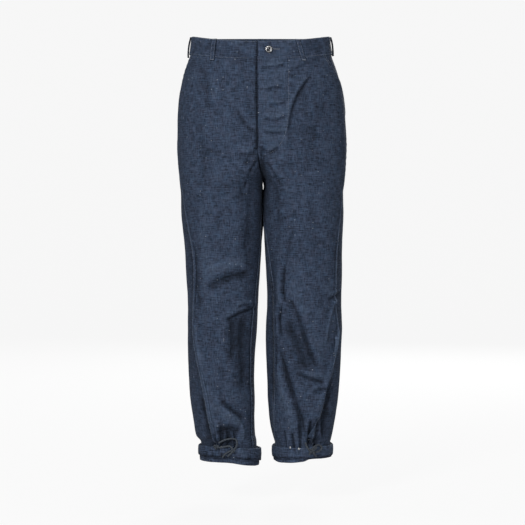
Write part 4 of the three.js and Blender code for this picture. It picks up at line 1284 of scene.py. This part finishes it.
topstitch = {
    "pocket": (2, 8),  # distances from the mouth's edge
    "felled": (1.8, 8.2),
    "band": (1.7, 2.2),  # above its lower edge and below its top
    "fly": [(59, -24), (59.5, -80), (59, -150), (52, -202), (33, -236), (4, -250)],
}
waistEdge = cut["waistSeam"] - 1
for sideName in sides:
    front, back = panels["front", sideName], panels["back", sideName]
    for distance in topstitch["pocket"]:
        stitches("Front", *edgeLine(front, "outer", distance, waistEdge - 2, cut["pocketEnd"] + 4))
    for distance in topstitch["felled"]:
        stitches("Back", *edgeLine(back, "inner", distance, cut["fork"], cut["hem"] + 30))
        if sideName == "left":
            stitches("Back", *edgeLine(back, "inner", distance, waistEdge, cut["fork"]))
    stitches("Back", *edgeLine(back, "outer", topstitch["felled"][0], waistEdge, cut["hem"] + 30))
stitches("Front", *frontLine(panels["front", "left"], topstitch["fly"]))

for sideName, band in bands.items():
    profile, grid, normals = band["profile"], band["grid"], band["normals"]
    outer = np.flatnonzero(profile[:, 0] > waistband["proud"] - 0.3)
    for wanted in (topstitch["band"][0], cut["bandHeight"] - topstitch["band"][1]):
        column = outer[np.abs(profile[outer, 1] - wanted).argmin()]
        stitches("Waist", grid[3:, column], normals[3:, column])
for name, made in loopGrids.items():
    grid, normals = made["grid"], made["normals"]
    for column in (3, 7):
        stitches("Waist", grid[2:-2, column], normals[2:-2, column])
    for row in (1, -2):
        across, up = grid[row, -2] - grid[row, 1], grid[row + 1] - grid[row - 1]
        up = up[5] / np.linalg.norm(up[5])
        barTack("Waist", grid[row, 5] + normals[row, 5] * 0.1, across / np.linalg.norm(across), up,
                normals[row, 5], 9, 2.4, 9)

# Buttonhole beside the button: satin stitches round a slit
buttonhole = {"start": 9, "length": 18, "wide": 3.2, "pitch": 0.75}


def addButtonhole(setup):
    side = sides["left"]
    zAxis = np.array((0, 0, 1.0))
    for k in range(int(setup["length"] / setup["pitch"])):
        away = setup["start"] - 3 + setup["pitch"] * k
        x = buttonPlace[0] + away
        place, normal = bandFace("left", angleAt(side, x, button["z"]), button["z"] + 0.8)
        across = np.cross(zAxis, normal)
        for level in (-1, 1):
            middle = place + zAxis * level * setup["wide"] / 4 + normal * 0.35
            barTack("Waist", middle, across, zAxis, normal, setup["pitch"], setup["wide"] / 2.3, 1)


addButtonhole(buttonhole)
threadPieces = []
for group, rows in stitchLines.items():
    if not rows:
        continue
    piece = stitchMesh("stitches" + group, rows)
    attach(piece, "root")
    threadPieces.append(piece)
print("sewn with", sum(len(row[3]) for rows in stitchLines.values() for row in rows), "stitches")

# Eyelets that the hem cords come out of
eyelet = {"radius": 2.3, "hole": 1.2, "height": 0.8}
eyeletPlaces = {"RightOuter": ("right", -88, -896), "LeftInner": ("left", 67, -898), "LeftOuter": ("left", 84, -900)}


def addEyelet(name, sideName, x, z):
    side = sides[sideName]
    angle = angleAt(side, x, cut["hem"])
    place, outward = cuffPlace(side, np.array(angle), z - 1.5, cuffForm["second"]["outside"] + 0.6)
    r, hole, tall = eyelet["radius"], eyelet["hole"], eyelet["height"]
    profile = [(hole, -0.6), (hole, 0.3), (hole + 0.25, tall * 0.8), ((r + hole) / 2, tall),
               (r - 0.25, tall * 0.6), (r, 0), (r, -0.6), (hole, -0.6)]
    piece = addLathe("eyelet" + name, profile, 28, place, outward)
    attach(piece, "root")
    return piece


eyelets = [addEyelet(name, *place) for name, place in eyeletPlaces.items()]


# Shader helpers
def put(tree, kind, inputs=None, **settings):
    node = tree.nodes.new("ShaderNode" + kind)
    for key, value in settings.items():
        setattr(node, key, value)
    for key, value in (inputs or {}).items():
        if isinstance(value, bpy.types.NodeSocket):
            tree.links.new(value, node.inputs[key])
        else:
            node.inputs[key].default_value = value
    return node


def mixColour(tree, factor, first, second, blend="MIX"):
    node = put(tree, "Mix", {0: factor, 6: first, 7: second}, data_type="RGBA", blend_type=blend)
    return node.outputs[2]


def maths(tree, operation, first, second=0.5, third=0.5):
    return put(tree, "Math", {0: first, 1: second, 2: third}, operation=operation).outputs[0]


def rangeOf(tree, value, low, high, toLow=0.0, toHigh=1.0):
    inputs = {0: value, 1: low, 2: high, 3: toLow, 4: toHigh}
    return put(tree, "MapRange", inputs).outputs[0]


def noiseOf(tree, vector, stretch, detail=2.0, roughness=0.5):
    scaled = put(tree, "VectorMath", {0: vector, 1: stretch}, operation="MULTIPLY").outputs[0]
    return put(tree, "TexNoise", {"Vector": scaled, "Scale": 1.0, "Detail": detail,
                                  "Roughness": roughness}).outputs[0]


def newGroup(name, inputs, outputs):
    tree = bpy.data.node_groups.new(name, "ShaderNodeTree")
    for direction, sockets in (("INPUT", inputs), ("OUTPUT", outputs)):
        for label, kind, value in sockets:
            socket = tree.interface.new_socket(name=label, in_out=direction, socket_type="NodeSocket" + kind)
            if value is not None:
                socket.default_value = value
    return tree, tree.nodes.new("NodeGroupInput").outputs, tree.nodes.new("NodeGroupOutput").inputs


# Plain weave of uneven yarns: tone of the yarn on top, its height, light flecks and soft clouds
def slubWeaveGroup():
    tree, given, wanted = newGroup(
        "slubWeave",
        [("Cloth", "Vector", None), ("Pitch", "Float", 0.0011), ("Fleck Amount", "Float", 1.0)],
        [("Tone", "Float", None), ("Height", "Float", None), ("Flecks", "Float", None), ("Cloud", "Float", None)],
    )
    cloth = given["Cloth"]
    yarns = [noiseOf(tree, cloth, stretch, 2, 0.6)
             for stretch in ((340, 60, 1), (48, 420, 1), (900, 130, 1), (90, 1100, 1))]
    both = maths(tree, "MULTIPLY", yarns[0], 0.24)
    for yarn, share in zip(yarns[1:], (0.31, 0.2, 0.25)):
        both = maths(tree, "MULTIPLY_ADD", yarn, share, both)
    tree.links.new(rangeOf(tree, both, 0.4, 0.6), wanted["Tone"])
    scaled = put(tree, "VectorMath", {0: cloth, "Scale": 2 * math.pi}, operation="SCALE").outputs[0]
    apart = put(tree, "SeparateXYZ", {0: scaled})
    waves = [maths(tree, "SINE", maths(tree, "DIVIDE", apart.outputs[k], given["Pitch"])) for k in (0, 1)]
    crossing = maths(tree, "MULTIPLY_ADD", maths(tree, "MULTIPLY", waves[0], waves[1]), 0.12, 0.35)
    tree.links.new(maths(tree, "MULTIPLY_ADD", both, 1.6, crossing), wanted["Height"])
    spots = put(tree, "VectorMath", {0: cloth, 1: (74, 120, 1)}, operation="MULTIPLY").outputs[0]
    cells = put(tree, "TexVoronoi", {"Vector": spots, "Scale": 1.0}, voronoi_dimensions="2D")
    near = rangeOf(tree, cells.outputs["Distance"], 0.13, 0.05)
    chosen = rangeOf(tree, put(tree, "SeparateColor", {0: cells.outputs["Color"]}).outputs[0], 0.93, 1.05)
    flecks = maths(tree, "MULTIPLY", maths(tree, "MULTIPLY", near, chosen), given["Fleck Amount"])
    tree.links.new(flecks, wanted["Flecks"])
    tree.links.new(noiseOf(tree, cloth, (75, 55, 1), 3, 0.65), wanted["Cloud"])
    return tree


# Rubbed edges as wear, and shade painted into folds, seams and hollows, from the mask that a piece carries in its
# points
def wearAndShadeGroup():
    tree, given, wanted = newGroup(
        "rubbed", [("Cloth", "Vector", None), ("Strength", "Float", 0.6)],
        [("Rubbed", "Float", None), ("Unfaded", "Float", None)],
    )
    mask = put(tree, "Attribute", attribute_name="wear").outputs["Fac"]
    patchy = rangeOf(tree, noiseOf(tree, given["Cloth"], (230, 120, 1), 3, 0.6), 0.3, 0.7)
    broken = maths(tree, "MULTIPLY", maths(tree, "MULTIPLY", rangeOf(tree, mask, 0, 1), patchy), given["Strength"])
    tree.links.new(broken, wanted["Rubbed"])
    tree.links.new(rangeOf(tree, mask, 0, -1), wanted["Unfaded"])
    return tree


groups = {"slubWeave": slubWeaveGroup(), "rubbed": wearAndShadeGroup()}


def newMaterial(name):
    material = bpy.data.materials.new(name)
    material.use_nodes = True
    tree = material.node_tree
    return material, tree, tree.nodes["Principled BSDF"]


clothLook = {
    "blue": (0.0212, 0.0338, 0.0590, 1),
    "plum": (0.0262, 0.0336, 0.0552, 1),
    "fleck": (0.30, 0.33, 0.38, 1),
    "rubbed": (0.085, 0.12, 0.18, 1),
    "paintedShadeShare": 0.36,  # share of the colour kept where shade is painted into folds, seams and hollows
    "tones": (0.25, 1.95),
    "roughness": 0.88,
    "bump": 0.00045,
}


def clothMaterial(name, look, flecks=1.0, contrast=1.0, strength=0.6):
    material, tree, shader = newMaterial(name)
    cloth = put(tree, "UVMap", uv_map="cloth").outputs[0]
    weave = put(tree, "Group", {}, node_tree=groups["slubWeave"])
    tree.links.new(cloth, weave.inputs["Cloth"])
    weave.inputs["Fleck Amount"].default_value = flecks
    # this group gives the rubbed wear and the painted shade
    rubbed = put(tree, "Group", {}, node_tree=groups["rubbed"])
    tree.links.new(cloth, rubbed.inputs["Cloth"])
    rubbed.inputs["Strength"].default_value = strength
    ground = mixColour(tree, rangeOf(tree, weave.outputs["Cloud"], 0.3, 0.7), look["blue"], look["plum"])
    low, high = (1 + (tone - 1) * contrast for tone in look["tones"])
    tone = rangeOf(tree, weave.outputs["Tone"], 0, 1, low, high)
    # painted shade: darkens the dye where the mask is negative
    depth = rangeOf(tree, rubbed.outputs["Unfaded"], 0, 1, 1, look["paintedShadeShare"])
    share = maths(tree, "MULTIPLY", tone, depth)
    dyed = put(tree, "VectorMath", {0: ground, "Scale": share}, operation="SCALE").outputs[0]
    wornAndPaintedShade = mixColour(tree, rubbed.outputs["Rubbed"], dyed, look["rubbed"])
    colour = mixColour(tree, weave.outputs["Flecks"], wornAndPaintedShade, look["fleck"])
    tree.links.new(colour, shader.inputs["Base Color"])
    shader.inputs["Roughness"].default_value = look["roughness"]
    shader.inputs["Specular IOR Level"].default_value = 0.1
    shader.inputs["Sheen Weight"].default_value = 0.02
    shader.inputs["Sheen Roughness"].default_value = 0.5
    shader.inputs["Sheen Tint"].default_value = (0.6, 0.75, 1, 1)
    bump = put(tree, "Bump", {"Height": weave.outputs["Height"], "Strength": 0.8, "Distance": look["bump"]})
    tree.links.new(bump.outputs[0], shader.inputs["Normal"])
    return material


threadLook = {"low": (0.07, 0.085, 0.118, 1), "high": (0.165, 0.19, 0.235, 1), "roughness": 0.7}


def threadMaterial(look):
    material, tree, shader = newMaterial("thread")
    place = put(tree, "TexCoord").outputs["Object"]
    tone = rangeOf(tree, noiseOf(tree, place, (90, 90, 90), 2), 0.35, 0.65)
    tree.links.new(mixColour(tree, tone, look["low"], look["high"]), shader.inputs["Base Color"])
    shader.inputs["Roughness"].default_value = look["roughness"]
    fibre = noiseOf(tree, place, (2600, 2600, 2600), 2)
    bump = put(tree, "Bump", {"Height": fibre, "Strength": 0.5, "Distance": 0.0001})
    tree.links.new(bump.outputs[0], shader.inputs["Normal"])
    return material


cordLook = {"deep": (0.004, 0.006, 0.009, 1), "pale": (0.050, 0.063, 0.083, 1), "roughness": 0.85}


def cordMaterial(look):
    material, tree, shader = newMaterial("drawcord")
    cloth = put(tree, "UVMap", uv_map="cloth").outputs[0]
    fibre = noiseOf(tree, cloth, (1500, 420, 1), 3, 0.65)
    tree.links.new(mixColour(tree, rangeOf(tree, fibre, 0.3, 0.7), look["deep"], look["pale"]),
                   shader.inputs["Base Color"])
    shader.inputs["Roughness"].default_value = look["roughness"]
    bump = put(tree, "Bump", {"Height": fibre, "Strength": 0.7, "Distance": 0.0003})
    tree.links.new(bump.outputs[0], shader.inputs["Normal"])
    return material


metalLook = {"dark": (0.05, 0.052, 0.058, 1), "bright": (0.5, 0.5, 0.5, 1)}


def metalMaterial(name, look, edge):
    material, tree, shader = newMaterial(name)
    place = put(tree, "TexCoord").outputs["Object"]
    patina = noiseOf(tree, place, (420, 420, 420), 4, 0.6)
    shine = rangeOf(tree, patina, 0.42, 0.6, 0.0, edge)
    tree.links.new(mixColour(tree, shine, look["dark"], look["bright"]), shader.inputs["Base Color"])
    tree.links.new(rangeOf(tree, patina, 0.3, 0.7, 0.22, 0.42), shader.inputs["Roughness"])
    shader.inputs["Metallic"].default_value = 1
    return material


materials = {
    "cloth": clothMaterial("indigoCloth", clothLook),
    "cuff": clothMaterial("turnedCloth", clothLook, 1.4, 1.25, 0.8),
    "band": clothMaterial("bandCloth", clothLook, 0.6, 1.0, 0.7),
    "thread": threadMaterial(threadLook),
    "cord": cordMaterial(cordLook),
    "button": metalMaterial("buttonMetal", metalLook, 0.12),
    "buttonRing": metalMaterial("buttonRing", {"dark": (0.12, 0.12, 0.125, 1), "bright": (0.5, 0.5, 0.5, 1)}, 1),
    "eyelet": metalMaterial("eyeletMetal", {"dark": (0.5, 0.5, 0.52, 1), "bright": (0.92, 0.92, 0.92, 1)}, 1),
}


def dress(piece, *looks):
    for material in looks:
        piece.data.materials.append(material)


for piece in bpy.data.objects:
    if piece.type != "MESH" or piece.name in frame["nodes"]:
        continue
    kinds = [("cuff", "cuff"), ("waistband", "band"), ("beltLoop", "band"), ("stitches", "thread"),
             ("tie", "cord"), ("eyelet", "eyelet")]
    kind = next((look for start, look in kinds if piece.name.startswith(start)), "cloth")
    if piece.name == "waistbandButton":
        dress(piece, materials["button"], materials["buttonRing"])
    else:
        dress(piece, materials[kind])
print("cloth dyed")

# Studio: a pale floor that turns up into a wall, a soft key and fill beside the camera
studio = {
    "floor": -1.03, "flat": 5.6, "bend": 2.4, "tall": 1.6, "turns": 64,
    "paper": 0.05,
    "glow": 0.905,  # the paper is lit from behind
    "bounce": 0.36,
    "surround": 0.26,
    "white": 0.95,
}


def addFloor(setup):
    outline = [(0.001, setup["floor"])]
    for turn in np.linspace(-90, 0, 13):
        outline.append((setup["flat"] + setup["bend"] * math.cos(math.radians(turn)),
                        setup["floor"] + setup["bend"] + setup["bend"] * math.sin(math.radians(turn))))
    outline.append((setup["flat"] + setup["bend"], setup["floor"] + setup["bend"] + setup["tall"]))
    floor = addLathe("studioFloor", [(r / mm, z / mm) for r, z in outline], setup["turns"], (0, 0, 0), (0, 0, 1))
    material, tree, shader = newMaterial("paper")
    shader.inputs["Base Color"].default_value = (setup["paper"],) * 3 + (1,)
    shader.inputs["Roughness"].default_value = 0.9
    shader.inputs["Specular IOR Level"].default_value = 0
    shader.inputs["Emission Color"].default_value = (1, 1, 1, 1)
    seen = put(tree, "LightPath").outputs["Is Camera Ray"]
    tree.links.new(rangeOf(tree, seen, 0, 1, setup["bounce"], setup["glow"]), shader.inputs["Emission Strength"])
    dress(floor, material)


def addSoftBox(name, place, aim, size, power):
    data = bpy.data.lights.new(name, "AREA")
    data.shape = "RECTANGLE"
    data.size, data.size_y = size
    data.energy = power
    light = bpy.data.objects.new(name, data)
    light.location = place
    light.rotation_euler = (Vector(aim) - Vector(place)).to_track_quat("-Z", "Y").to_euler()
    bpy.context.collection.objects.link(light)


def addSurround(setup):
    world = bpy.data.worlds.new("surround")
    world.use_nodes = True
    tree = world.node_tree
    background = tree.nodes["Background"]
    background.inputs["Color"].default_value = (1, 1, 1, 1)
    seen = put(tree, "LightPath").outputs["Is Camera Ray"]
    tree.links.new(rangeOf(tree, seen, 0, 1, setup["surround"], setup["white"]), background.inputs["Strength"])
    bpy.context.scene.world = world


lights = {
    "key": {"place": (-1.9, -4.0, 1.6), "aim": (0, 0, -0.5), "size": (0.9, 0.9), "power": 172},
    "fill": {"place": (1.2, -3.8, -0.9), "aim": (0, 0, -0.6), "size": (1.4, 1.4), "power": 108},
    "rear": {"place": (0.9, 3.9, 1.2), "aim": (0, 0, -0.5), "size": (1.6, 1.6), "power": 150},
}
addFloor(studio)
for name, setup in lights.items():
    addSoftBox(name, **setup)
addSurround(studio)
bpy.context.scene.view_settings.view_transform = "Standard"

bpy.context.view_layer.update()
